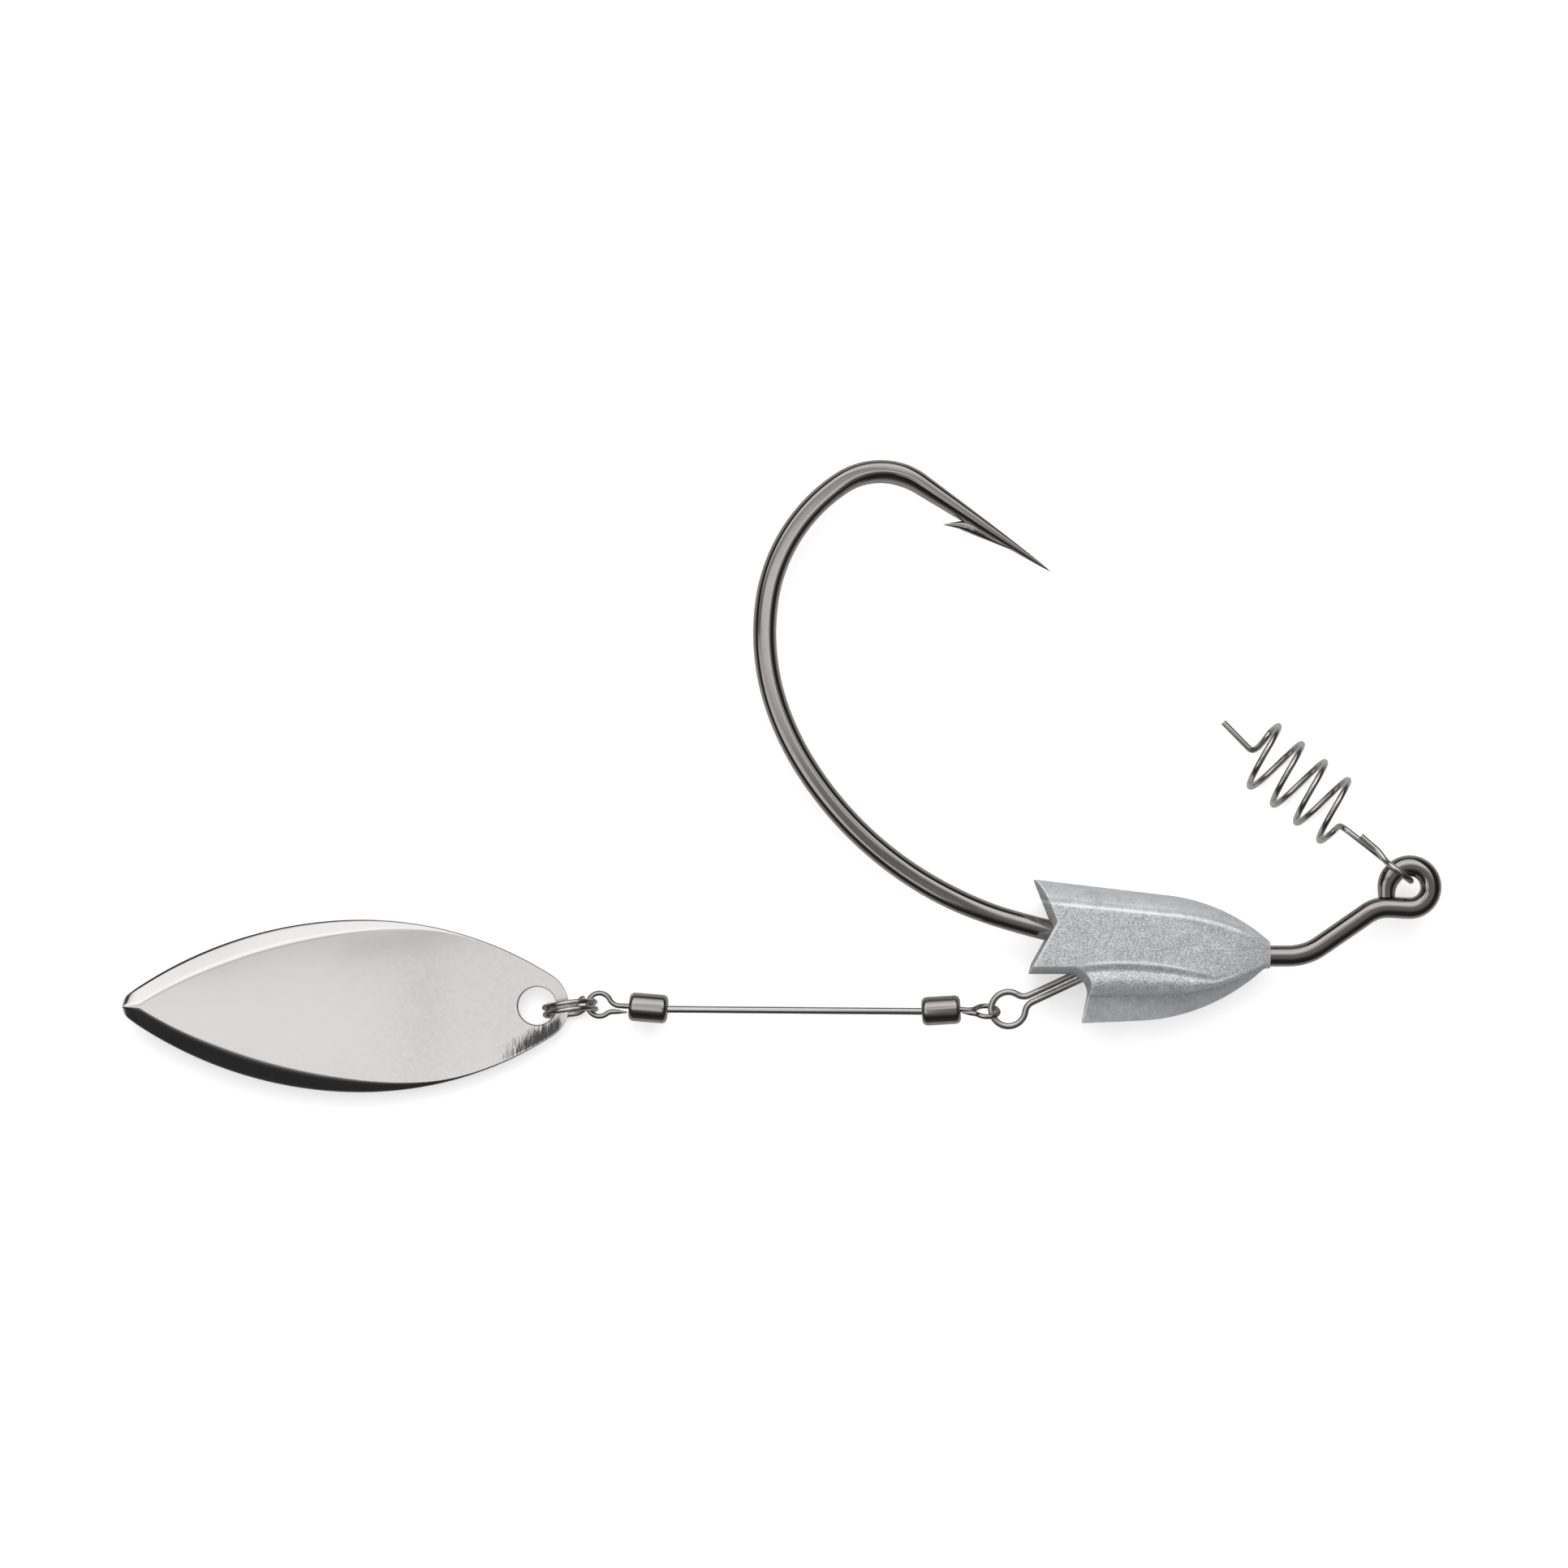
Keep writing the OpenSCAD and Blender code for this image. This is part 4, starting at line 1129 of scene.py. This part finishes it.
class LURE_OT_swivel_eyes(bpy.types.Operator):
    """Bends the front and rear swivel eyes"""

    bl_idname = "lure.swivel_eyes"
    bl_label = "Swivel eyes"

    def execute(self, context):
        finish = plated("dark_wire", colours().dark_nickel, 0.2)
        front = swivel_eye("front_eye_wire", FRONT_STEM)
        on_arm(front, 0, Matrix.Translation((arm()["front_neck"] * MM, 0, 0))
               @ Matrix.Rotation(math.radians(90 - FRONT_ROLL), 4, "X")
               @ Matrix.Rotation(math.pi, 4, "Z"))
        dress(front, "front_link", "dark_wire", finish, "front_eye")
        rear = swivel_eye("rear_eye_wire", REAR_STEM)
        on_arm(rear, 4, Matrix.Translation(((BARREL_WALL / 2 + REAR_STEM) * MM, 0, 0))
               @ Matrix.Rotation(math.pi, 4, "X"))
        dress(rear, "rear_link", "dark_wire", finish, "rear_eye")
        return {"FINISHED"}


def barrel(name, near_wire, far_wire):
    """A hollow rolled barrel with turned-in ends."""
    out = arm_sizes().barrel / MM / 2
    near, far = near_wire / 2 + RUN_GAP, far_wire / 2 + RUN_GAP
    cave = out - BARREL_WALL
    arc = [math.radians(a) for a in range(0, 91, 9)]
    rounded = [(BARREL_ROUND * (1 - math.cos(a)), out - BARREL_ROUND * (1 - math.sin(a))) for a in arc]
    profile = [(0, near)] + rounded
    profile += [(BARREL_LENGTH - x, r) for x, r in reversed(rounded)]
    profile += [(BARREL_LENGTH, far), (BARREL_LENGTH - BARREL_WALL, far),
                (BARREL_LENGTH - BARREL_WALL, cave), (BARREL_WALL, cave), (BARREL_WALL, near)]
    return lathe(name, [(x - BARREL_WALL / 2, r) for x, r in profile], 96)


class LURE_OT_barrels(bpy.types.Operator):
    """Rolls the two swivel barrels"""

    bl_idname = "lure.barrels"
    bl_label = "Swivel barrels"

    def execute(self, context):
        eye_wire = arm_sizes().eye_wire / MM
        shaft_wire = arm_sizes().shaft_wire / MM
        finish = plated("barrel_plate", colours().dark_nickel, 0.17, 1800.0)
        front = barrel("front_barrel_shell", eye_wire, shaft_wire)
        on_arm(front, 1)
        dress(front, "barrel_front", "dark_wire", finish, "front_barrel")
        rear = barrel("rear_barrel_shell", shaft_wire, eye_wire)
        on_arm(rear, 3)
        dress(rear, "barrel_rear", "dark_wire", finish, "rear_barrel")
        return {"FINISHED"}


class LURE_OT_shaft(bpy.types.Operator):
    """Draws the straight shaft with its two upset heads"""

    bl_idname = "lure.shaft"
    bl_label = "Shaft"

    def execute(self, context):
        inside = BARREL_WALL / 2 + HEAD_PLAY
        low, high = -inside - HEAD_LENGTH, arm()["lengths"][2] + inside + HEAD_LENGTH
        xs, radii = upset_head(low, arm_sizes().shaft_wire / MM / 2)
        points = [(x, 0, 0) for x in xs] + [(low + high - x, 0, 0) for x in reversed(xs)]
        obj = wire("shaft_wire", points, radii + radii[::-1], sides=32)
        on_arm(obj, 2)
        finish = plated("shaft_finish", colours().bright_wire, 0.13, wear=0.05)
        dress(obj, "shaft_wire", "bright_wire", finish, "shaft")
        return {"FINISHED"}


# ---------------------------------------------------------------- split ring

RING_START = 236
RING_SWEEP = 700
RING_STEP = 5
RING_CROSSING = 335
RING_CROSSING_TURN = 50
RING_FLARE = 0.6
RING_FLARE_TURN = 34


class LURE_OT_split_ring(bpy.types.Operator):
    """Winds the split ring's two coils"""

    bl_idname = "lure.split_ring"
    bl_label = "Split ring"

    def execute(self, context):
        laid = arm()
        r, coil = laid["ring_r"], laid["coil"]
        points = []
        for turn in range(0, RING_SWEEP + 1, RING_STEP):
            crossed = ease((turn - RING_CROSSING) / RING_CROSSING_TURN)
            side = coil * (1 - 2 * crossed) + RING_FLARE * (1 - ease(turn / RING_FLARE_TURN))
            a = math.radians(RING_START + turn)
            points.append((r * math.cos(a), -side, r * math.sin(a)))
        obj = wire("ring_coils", points, [RING_WIRE / 2 - LINK_EASE] * len(points))
        settle(obj, turned_by(laid["ring_heading"], RING_LEAN, "X"), laid["ring_mid"])
        finish = plated("ring_finish", colours().bright_wire, 0.22)
        dress(obj, "ring", "bright_wire", finish, "split_ring")
        return {"FINISHED"}


# ---------------------------------------------------------------- blade

BLADE_LENGTH = 35.8
BLADE_HALF = 6.93
BLADE_WIDE_AT = 16.6
FRONT_END_RADIUS = 2.9
TAIL_END_RADIUS = 1.3
BLADE_CROWN = 0.4
CROWN_RISE_RUN = 20
CROWN_FALL_RUN = 9

# The bevelled rim: its rise and width, which grow from almost nothing along the blade
RIM_RISE = 0.65
RIM_WIDTH = 1.45
RIM_FROM = 10.2
RIM_RUN = 19.0
RIM_START_EASE = 0.13
RIM_LEAST = 0.04
RIM_GROWTH = 0.96
RIM_FULLEST = 0.9
RIM_SOFT = 0.16
RIM_COLUMNS = 0.42
RIM_COLUMN_REACH = 1.3
EDGE_ROUND = 0.09
EDGE_DROP = 0.07
TINY = 1e-4

# The hole, and where the blade hangs
HOLE_DIAMETER = 3.0
HOLE_EDGE = 1.1
HOLE_SHIFT = 0.05
HOLE_BREAK = 0.08
HOLE_SIDES = 96
HOLE_CUT_DEPTH = 6
HOLE_PLAY = 0.72
BLADE_LIFT = 1.3
BLADE_SIDE = 0.42
RING_BAR_LIFT = 0.4

# Where the ring rubs the blade, as (start, run) along it and inwards from its edge
RUB_START = (0.3, 0.7)
RUB_END = (2.2, 4.6)
RUB_INNER = (0.5, 1.5)
RUB_OUTER = (0.06, 0.16)
RUB_END_GAP = 0.01

BLADE_ROWS = 260
BLADE_COLUMNS = 72
BLADE_ROW_SHARES = (0.6, 0.4)
BLADE_END_GAP = 0.002


def half_width(d, reach, end_r):
    """Half width of the blade at a distance from its widest place, towards one end."""
    side_r = (BLADE_HALF ** 2 + reach ** 2 - 2 * reach * end_r) / (2 * (BLADE_HALF - end_r))
    if d > (reach - end_r) * side_r / (side_r - end_r):
        return math.sqrt(max(end_r ** 2 - (d - reach + end_r) ** 2, 0.0))
    return BLADE_HALF - side_r + math.sqrt(side_r ** 2 - d ** 2)


def blade_half(x):
    """Half width of the blade at a distance from its front end."""
    if x < BLADE_WIDE_AT:
        return half_width(BLADE_WIDE_AT - x, BLADE_WIDE_AT, FRONT_END_RADIUS)
    return half_width(x - BLADE_WIDE_AT, BLADE_LENGTH - BLADE_WIDE_AT, TAIL_END_RADIUS)


def rim_share(x):
    """How full the rim is at a distance from the blade's front end, from almost 0 to 1."""
    t = (x - RIM_FROM) / RIM_RUN
    t = min((t + math.hypot(t, RIM_START_EASE)) / 2, 1.0)
    return RIM_LEAST + RIM_GROWTH * (1 - (1 - t) ** 2)


def rim_level(ramp):
    """Height over the bevelled rim: a ramp from 0 to 1 that turns softly into the level."""
    if ramp < 1 - RIM_SOFT:
        return ramp
    if ramp > 1 + RIM_SOFT:
        return 1.0
    return ramp - (ramp - 1 + RIM_SOFT) ** 2 / (4 * RIM_SOFT)


def blade_point(x, v):
    """A point of the blade's upper face; v runs from -1 to 1 across it."""
    w = blade_half(x)
    share = rim_share(x)
    band = max(min(RIM_WIDTH * share, RIM_FULLEST * w), TINY)
    if abs(v) > 1 - RIM_COLUMNS:
        inset = (1 - abs(v)) / RIM_COLUMNS * RIM_COLUMN_REACH * band
    else:
        inset = w - abs(v) / (1 - RIM_COLUMNS) * (w - RIM_COLUMN_REACH * band)
    inset = min(inset, w)
    y = math.copysign(w - inset, v)
    swell = ease(x / CROWN_RISE_RUN) * ease((BLADE_LENGTH - x) / CROWN_FALL_RUN)
    crown = BLADE_CROWN * swell * (1 - ((w - inset) / max(w, TINY)) ** 2)
    lip = min(inset, EDGE_ROUND) / EDGE_ROUND
    round_off = EDGE_DROP * (1 - math.sqrt(max(0.0, 1 - (1 - lip) ** 2)))
    sheet = arm_sizes().blade_sheet / MM
    return Vector((x, y, RIM_RISE * share * rim_level(inset / band) + crown + sheet - round_off))


def blade_rub(spot):
    """How rubbed the blade is: along one edge beside the hole, where the ring knocks it."""
    if spot.y < 0:
        return 0.0
    x = min(max(spot.x, RUB_END_GAP), BLADE_LENGTH - RUB_END_GAP)
    inset = blade_half(x) - abs(spot.y)
    ends = eased(spot.x, *RUB_START) * (1 - eased(spot.x, *RUB_END))
    return ends * (1 - eased(inset, *RUB_INNER)) * eased(inset, *RUB_OUTER)


def press_blade():
    """The blade's sheet: a grid pressed to shape and given its thickness."""
    sheet = arm_sizes().blade_sheet / MM
    obj = grid("blade_sheet", BLADE_ROWS, BLADE_COLUMNS)
    crowded, even = BLADE_ROW_SHARES
    for vertex in obj.data.vertices:
        along, v = (vertex.co.x + 1) / 2, vertex.co.y
        x = BLADE_LENGTH * (crowded * (0.5 - 0.5 * math.cos(math.pi * along)) + even * along)
        x = min(max(x, BLADE_END_GAP), BLADE_LENGTH - BLADE_END_GAP)
        vertex.co = blade_point(x, v) * MM
    bpy.ops.object.mode_set(mode="EDIT")
    bpy.ops.mesh.select_all(action="SELECT")
    bpy.ops.mesh.extrude_region_move(TRANSFORM_OT_translate={"value": (0, 0, -sheet * MM)})
    merge_doubles(FINE_MERGE_METRES)
    face_outwards()
    return obj


def punch_hole(obj):
    """Cuts the blade's hole and breaks its upper edge with a cone."""
    hole = HOLE_DIAMETER / 2 + 2 * LINK_EASE
    centre = HOLE_EDGE + HOLE_DIAMETER / 2 - HOLE_SHIFT
    face = blade_point(centre - hole, 0).z
    deselect()
    bpy.ops.mesh.primitive_cylinder_add(vertices=HOLE_SIDES, radius=hole * MM,
                                        depth=HOLE_CUT_DEPTH * MM, location=(centre * MM, 0, 0))
    cut_away(obj, bpy.context.active_object)
    deselect()
    bpy.ops.mesh.primitive_cone_add(
        vertices=HOLE_SIDES, radius1=(hole - HOLE_BREAK) * MM, radius2=(hole + 3 * HOLE_BREAK) * MM,
        depth=4 * HOLE_BREAK * MM, location=(centre * MM, 0, (face + HOLE_BREAK * 0.2) * MM))
    cut_away(obj, bpy.context.active_object)


def hang_blade(obj):
    """Lays the blade behind the ring, its front end lifted and its tail on the floor."""
    laid = arm()
    h = math.radians(laid["ring_heading"])
    bar_z = FLOOR_Z + BLADE_LIFT + RING_BAR_LIFT
    cross = math.sqrt(laid["ring_r"] ** 2 - (bar_z - laid["ring_mid"].z) ** 2)
    pin = laid["ring_mid"] + cross * Vector((math.cos(h), math.sin(h), 0))
    pitch = math.asin(BLADE_LIFT / BLADE_LENGTH)
    turn = Matrix.Rotation(math.pi, 3, "Z") @ Matrix.Rotation(-pitch, 3, "Y")
    settle(obj, turn, (pin.x + HOLE_PLAY + HOLE_EDGE, pin.y + BLADE_SIDE, FLOOR_Z + BLADE_LIFT))


class LURE_OT_blade(bpy.types.Operator):
    """Presses the willow blade: a crowned sheet with a bevelled rim and a hole"""

    bl_idname = "lure.blade"
    bl_label = "Willow blade"

    def execute(self, context):
        obj = press_blade()
        punch_hole(obj)
        smooth_below(32)
        rubbed = obj.data.attributes.new("rubbed", "FLOAT", "POINT")
        rubbed.data.foreach_set("value", [blade_rub(v.co / MM) for v in obj.data.vertices])
        hang_blade(obj)
        finish = plated("blade_plate", colours().blade_plate, 0.15, 700.0, 0.02, 0.000001)
        streaked(finish, "rubbed")
        dress(obj, "blade", "blade_plate", finish, "willow_blade")
        return {"FINISHED"}


# ---------------------------------------------------------------- bait keeper

KEEPER_DIRECTION = 142.0
KEEPER_ASIDE = 0.5
KEEPER_LOOP = 1.4
KEEPER_NECK = 1.2
KEEPER_LEG = 6.37
KEEPER_SHOULDER = 1.4
KEEPER_DROOP = 4.0
COIL_RADIUS = 2.62
COIL_PITCH = 2.35
COIL_TURNS = 3.5
COIL_SHIFT = 0.62
COIL_ENDS = (-0.15, COIL_TURNS + 0.1)
COIL_STEP = 0.02
PIN_LENGTH = 3.0
PIN_SHORT = 0.1
PIN_ROOT = (0.8, 0.26)
PIN_SLOPE = -0.14
LOOP_OPEN = 50
LOOP_STEP = 5
TAG_END = 3.97
TAG_ASIDE = 0.34
TAG_SLANT = 0.06
TAG_RISE = 0.1
TAG_GAP = 0.01

# How strongly each end pulls a blend between two parts of the wire, and its number of cuts
LOOP_PULL = 0.5
NECK_PULL = 0.7
NECK_CUTS = 12
SHOULDER_PULL = 1.1
COIL_IN_PULL = 1.2
COIL_IN_CUTS = 16
COIL_OUT_PULL = 1.1
COIL_OUT_CUTS = 14
PIN_PULL = 0.9


def coil_point(turn):
    """A point of the corkscrew after a number of turns."""
    a = math.radians(180 - 360 * turn)
    return Vector((KEEPER_LEG + COIL_PITCH * turn, -COIL_SHIFT - COIL_RADIUS * math.cos(a),
                   COIL_RADIUS * math.sin(a)))


def coil_heading(turn):
    return (coil_point(turn + 0.01) - coil_point(turn - 0.01)).normalized()


def loop_point(degrees):
    """A point of the keeper's loop, whose tag end stands to one side."""
    a = math.radians(degrees)
    return Vector((KEEPER_LOOP * math.cos(a),
                   TAG_RISE * (1 - (degrees - LOOP_OPEN) / (360 - 2 * LOOP_OPEN)),
                   KEEPER_LOOP * math.sin(a)))


def loop_heading(degrees):
    a = math.radians(degrees)
    return Vector((-math.sin(a), 0, math.cos(a)))


def keeper_route(wire_d):
    """Points of the keeper wire: tag, loop, leg, corkscrew and centring pin."""
    tag = Vector((0, TAG_RISE, wire_d + TAG_GAP))
    start = Vector((KEEPER_NECK + KEEPER_LOOP, 0, 0))
    end = Vector((TAG_END, -TAG_ASIDE - TAG_SLANT, 0)) + tag
    rest = start + tag - Vector((0, TAG_ASIDE, 0))
    shoulder = Vector((KEEPER_LEG - KEEPER_SHOULDER, 0, 0))
    coil_in, coil_out = COIL_ENDS
    root = Vector((KEEPER_LEG + COIL_PITCH * COIL_TURNS + PIN_ROOT[0], -COIL_SHIFT + PIN_ROOT[1], 0))
    pin = Vector((1, PIN_SLOPE, 0)).normalized()
    shut = 360 - LOOP_OPEN

    points = [end, rest]
    points += blended(rest, (-NECK_PULL, 0, 0), loop_point(LOOP_OPEN),
                      LOOP_PULL * loop_heading(LOOP_OPEN), NECK_CUTS)
    points += [loop_point(a) for a in range(LOOP_OPEN, shut + 1, LOOP_STEP)]
    points += blended(loop_point(shut), LOOP_PULL * loop_heading(shut), start, (NECK_PULL, 0, 0),
                      NECK_CUTS)
    points += [start, shoulder]
    points += blended(shoulder, (SHOULDER_PULL, 0, 0), coil_point(coil_in),
                      COIL_IN_PULL * coil_heading(coil_in), COIL_IN_CUTS)
    count = round((coil_out - coil_in) / COIL_STEP)
    points += [coil_point(coil_in + (coil_out - coil_in) * k / count) for k in range(count + 1)]
    points += blended(coil_point(coil_out), COIL_OUT_PULL * coil_heading(coil_out), root,
                      PIN_PULL * pin, COIL_OUT_CUTS)
    points += [root, root + (PIN_LENGTH - PIN_SHORT) * pin]
    return points


class LURE_OT_keeper(bpy.types.Operator):
    """Coils the corkscrew bait keeper"""

    bl_idname = "lure.keeper"
    bl_label = "Bait keeper"

    def execute(self, context):
        wire_d = arm_sizes().keeper_wire / MM
        points = keeper_route(wire_d)
        obj = wire("keeper_wire", points, [wire_d / 2] * len(points))
        d = math.radians(KEEPER_DIRECTION)
        along = math.sqrt((hook_sizes().eye_radius / MM) ** 2 - KEEPER_ASIDE ** 2)
        pin = (along * math.cos(d) + KEEPER_ASIDE * math.sin(d),
               along * math.sin(d) - KEEPER_ASIDE * math.cos(d), 0)
        settle(obj, turned_by(KEEPER_DIRECTION, KEEPER_DROOP, "Y"), pin)
        finish = plated("keeper_finish", colours().bright_wire, 0.19, wear=0.05)
        dress(obj, "keeper", "bright_wire", finish, "screw_keeper")
        return {"FINISHED"}


# ---------------------------------------------------------------- stage

STAGE_X = -0.05
FLOOR_SIZE = 3.0
FLOOR_GAP = 0.01
FLOOR_COLOUR = (0.86, 0.86, 0.86)
FLOOR_MIRRORED = ((0.06, 0.06, 0.06), (0.5, 0.495, 0.49))
FLOOR_GLOW = 0.5
VIEW_WIDTH = 0.12558
VIEW_CENTRE = (-0.050115, 0.008255)
LENS = 200.0
SENSOR = 36.0

# The cards overhead: their reach along X and Y, and how soft their edges are
CARD_HEIGHT = 0.1
BLADE_CARD = ((-0.2, -0.0525), (-0.05, 0.024), 0.003)
BEND_CARD = ((-0.075, -0.02), (0.004, 0.06), 0.004)

KEY_PLACE = (STAGE_X, 0.36, 0.42)
KEY_SIZE = (0.5, 0.3)
KEY_POWER = 0.8

# Light that metal mirrors: (place along Y, light) on each card, and round it as (degrees from
# overhead, light)
BLADE_CARD_LIGHT = ((-0.05, 0.88), (-0.012, 0.84), (0.004, 0.79), (0.02, 0.6))
BEND_CARD_LIGHT = ((0.01, 0.4), (0.02, 1.0), (0.028, 1.0), (0.036, 0.56), (0.05, 0.56))
MIRRORED_LIGHT = ((-90, 0.06), (-62, 0.02), (-44, 0.04), (-30, 0.13), (-14, 0.22), (4, 0.22), (16, 0.46),
                  (30, 1.05), (40, 1.18), (58, 1.02), (74, 0.7), (80, 0.3), (86, 0.05))
MIRRORED_DARK = (0.03, 0.03, 0.03)
WORLD_LIGHT = ((0.12, 0.12, 0.12), (1.7, 1.7, 1.7))
SOFTBOX_ACROSS = (-20, 62)
SOFTBOX_ALONG = (-36, 36)
MIRRORED_ALONG = (-55, 40)
BAND_SOFT = 5
WHITE = (1, 1, 1)


def lay_floor():
    """A pale floor that the camera sees as white; metal mirrors it darker, most at the horizon."""
    deselect()
    bpy.ops.mesh.primitive_plane_add(size=FLOOR_SIZE, location=(STAGE_X, 0, (FLOOR_Z - FLOOR_GAP) * MM))
    floor = bpy.context.active_object
    floor.name = "floor"
    settle(floor, None, Vector(floor.location) / MM)
    floor.location = (0, 0, 0)
    material, tree, bsdf = shader("pale_floor")
    tree.nodes.remove(bsdf)
    path = tree.nodes.new("ShaderNodeLightPath")
    ray = added(tree, "NewGeometry", "Incoming", {})
    steep = added(tree, "SeparateXYZ", "Z", {"Vector": ray})
    mirrored = mixed(tree, ranged(tree, steep, 0.08, 0.55), *FLOOR_MIRRORED)
    seen = mixed(tree, path.outputs["Is Glossy Ray"], FLOOR_COLOUR, mirrored)
    diffuse = added(tree, "BsdfDiffuse", "BSDF", {"Color": seen})
    lift = product(tree, path.outputs["Is Camera Ray"], FLOOR_GLOW)
    glow = added(tree, "Emission", "Emission", {"Color": WHITE, "Strength": lift})
    both = added(tree, "AddShader", "Shader", {0: diffuse, 1: glow})
    fill(tree, tree.nodes["Material Output"], {"Surface": both})
    floor.data.materials.append(material)


def hang_card(name, across, along, soft, stops):
    """A white card overhead that only metal sees, soft at its edges and graded along Y."""
    deselect()
    bpy.ops.mesh.primitive_plane_add(size=1.0, location=(0, 0, 0))
    card = bpy.context.active_object
    card.name = name
    for vertex in card.data.vertices:
        vertex.co = Vector((across[vertex.co.x > 0], along[vertex.co.y > 0], CARD_HEIGHT))
    card.data.flip_normals()
    material, tree, bsdf = shader(name)
    tree.nodes.remove(bsdf)
    place = tree.nodes.new("ShaderNodeSeparateXYZ")
    tree.links.new(object_coords(tree), place.inputs["Vector"])

    def edges(axis, low, high):
        rise = ranged(tree, place.outputs[axis], low, low + 2 * soft)
        return product(tree, rise, ranged(tree, place.outputs[axis], high, high - 2 * soft))

    low, high = stops[0][0], stops[-1][0]
    light = graded(tree, ranged(tree, place.outputs["Y"], low, high),
                   [((spot - low) / (high - low), value) for spot, value in stops])
    glow = added(tree, "Emission", "Emission", {"Color": light})
    clear = added(tree, "BsdfTransparent", "BSDF", {})
    inside = product(tree, edges("X", *across), edges("Y", *along))
    faded = added(tree, "MixShader", "Shader", {"Fac": inside, 1: clear, 2: glow})
    fill(tree, tree.nodes["Material Output"], {"Surface": faded})
    card.data.materials.append(material)
    for ray in ("camera", "diffuse", "shadow", "transmission"):
        setattr(card, "visible_" + ray, False)


def light_world(world):
    """A softbox that leans to the point side; metal sees its gradient and dark flags."""
    world.use_nodes = True
    tree = world.node_tree
    split = tree.nodes.new("ShaderNodeSeparateXYZ")
    fill(tree, split, {"Vector": added(tree, "TexCoord", "Generated", {})})

    def swing(axis):
        return reckoned(tree, "ARCTAN2", split.outputs[axis], split.outputs["Z"])

    def band(angle, low, high):
        rise = ranged(tree, angle, math.radians(low - BAND_SOFT), math.radians(low + BAND_SOFT),
                      curve="SMOOTHSTEP")
        fall = ranged(tree, angle, math.radians(high + BAND_SOFT), math.radians(high - BAND_SOFT),
                      curve="SMOOTHSTEP")
        return product(tree, rise, fall)

    across, along = swing("Y"), swing("X")
    softbox = product(tree, band(across, *SOFTBOX_ACROSS), band(along, *SOFTBOX_ALONG))
    height = graded(tree, ranged(tree, across, -math.pi / 2, math.pi / 2),
                    [((angle + 90) / 180, value) for angle, value in MIRRORED_LIGHT])
    mirrored = mixed(tree, band(along, *MIRRORED_ALONG), MIRRORED_DARK, height)
    path = tree.nodes.new("ShaderNodeLightPath")
    seen = mixed(tree, path.outputs["Is Glossy Ray"], mixed(tree, softbox, *WORLD_LIGHT), mirrored)
    white = mixed(tree, path.outputs["Is Camera Ray"], seen, WHITE)
    fill(tree, tree.nodes["Background"], {"Color": white})
    world.cycles.sampling_method = "NONE"


def set_key_light():
    """A large soft lamp at the point side, which metal doesn't mirror."""
    bpy.ops.object.light_add(type="AREA", location=KEY_PLACE)
    key = bpy.context.active_object
    key.name = "key"
    key.data.shape = "RECTANGLE"
    key.data.size, key.data.size_y = KEY_SIZE
    key.data.energy = KEY_POWER
    key.visible_glossy = False
    aim = Vector((STAGE_X, 0.0, 0.0)) - key.location
    key.rotation_euler = aim.to_track_quat("-Z", "Y").to_euler()


def set_camera():
    """A camera that looks straight down."""
    bpy.ops.object.camera_add(location=(*VIEW_CENTRE, VIEW_WIDTH * LENS / SENSOR), rotation=(0, 0, 0))
    camera = bpy.context.active_object
    camera.name = "view"
    camera.data.lens = LENS
    camera.data.sensor_width = SENSOR
    camera.data.clip_start = 0.01
    camera.data.clip_end = 10.0
    bpy.context.scene.camera = camera


class LURE_OT_stage(bpy.types.Operator):
    """Sets the pale floor, the soft studio light and the camera"""

    bl_idname = "lure.stage"
    bl_label = "Stage"

    def execute(self, context):
        lay_floor()
        hang_card("blade_card", *BLADE_CARD, BLADE_CARD_LIGHT)
        hang_card("bend_card", *BEND_CARD, BEND_CARD_LIGHT)
        context.scene.world = bpy.data.worlds.new("studio")
        light_world(context.scene.world)
        set_key_light()
        set_camera()
        context.scene.view_settings.view_transform = "Standard"
        deselect()
        return {"FINISHED"}


# ---------------------------------------------------------------- panel and running


class LURE_PT_panel(bpy.types.Panel):
    """Lists the pieces of the lure"""

    bl_label = "Lure"
    bl_idname = "LURE_PT_panel"
    bl_space_type = "VIEW_3D"
    bl_region_type = "UI"
    bl_category = "Lure"

    def draw(self, context):
        layout = self.layout
        for group in (hook_sizes(), arm_sizes(), colours()):
            box = layout.box()
            for name in group.bl_rna.properties.keys():
                if name not in ("rna_type", "name"):
                    box.prop(group, name)
        for piece in PIECES:
            layout.operator(piece.bl_idname)


PIECES = (LURE_OT_hook, LURE_OT_weight, LURE_OT_hanger, LURE_OT_swivel_eyes, LURE_OT_barrels,
          LURE_OT_shaft, LURE_OT_split_ring, LURE_OT_blade, LURE_OT_keeper, LURE_OT_stage)
CLASSES = (HookSizes, ArmSizes, FinishColours) + PIECES + (LURE_PT_panel,)


def register():
    for cls in CLASSES:
        bpy.utils.register_class(cls)
    bpy.types.Scene.lure_hook = bpy.props.PointerProperty(type=HookSizes)
    bpy.types.Scene.lure_arm = bpy.props.PointerProperty(type=ArmSizes)
    bpy.types.Scene.lure_colours = bpy.props.PointerProperty(type=FinishColours)


def unregister():
    del bpy.types.Scene.lure_colours
    del bpy.types.Scene.lure_arm
    del bpy.types.Scene.lure_hook
    for cls in reversed(CLASSES):
        bpy.utils.unregister_class(cls)


def main():
    register()
    for piece in PIECES:
        getattr(bpy.ops.lure, piece.bl_idname.split(".")[1])()


if __name__ == "__main__":
    main()
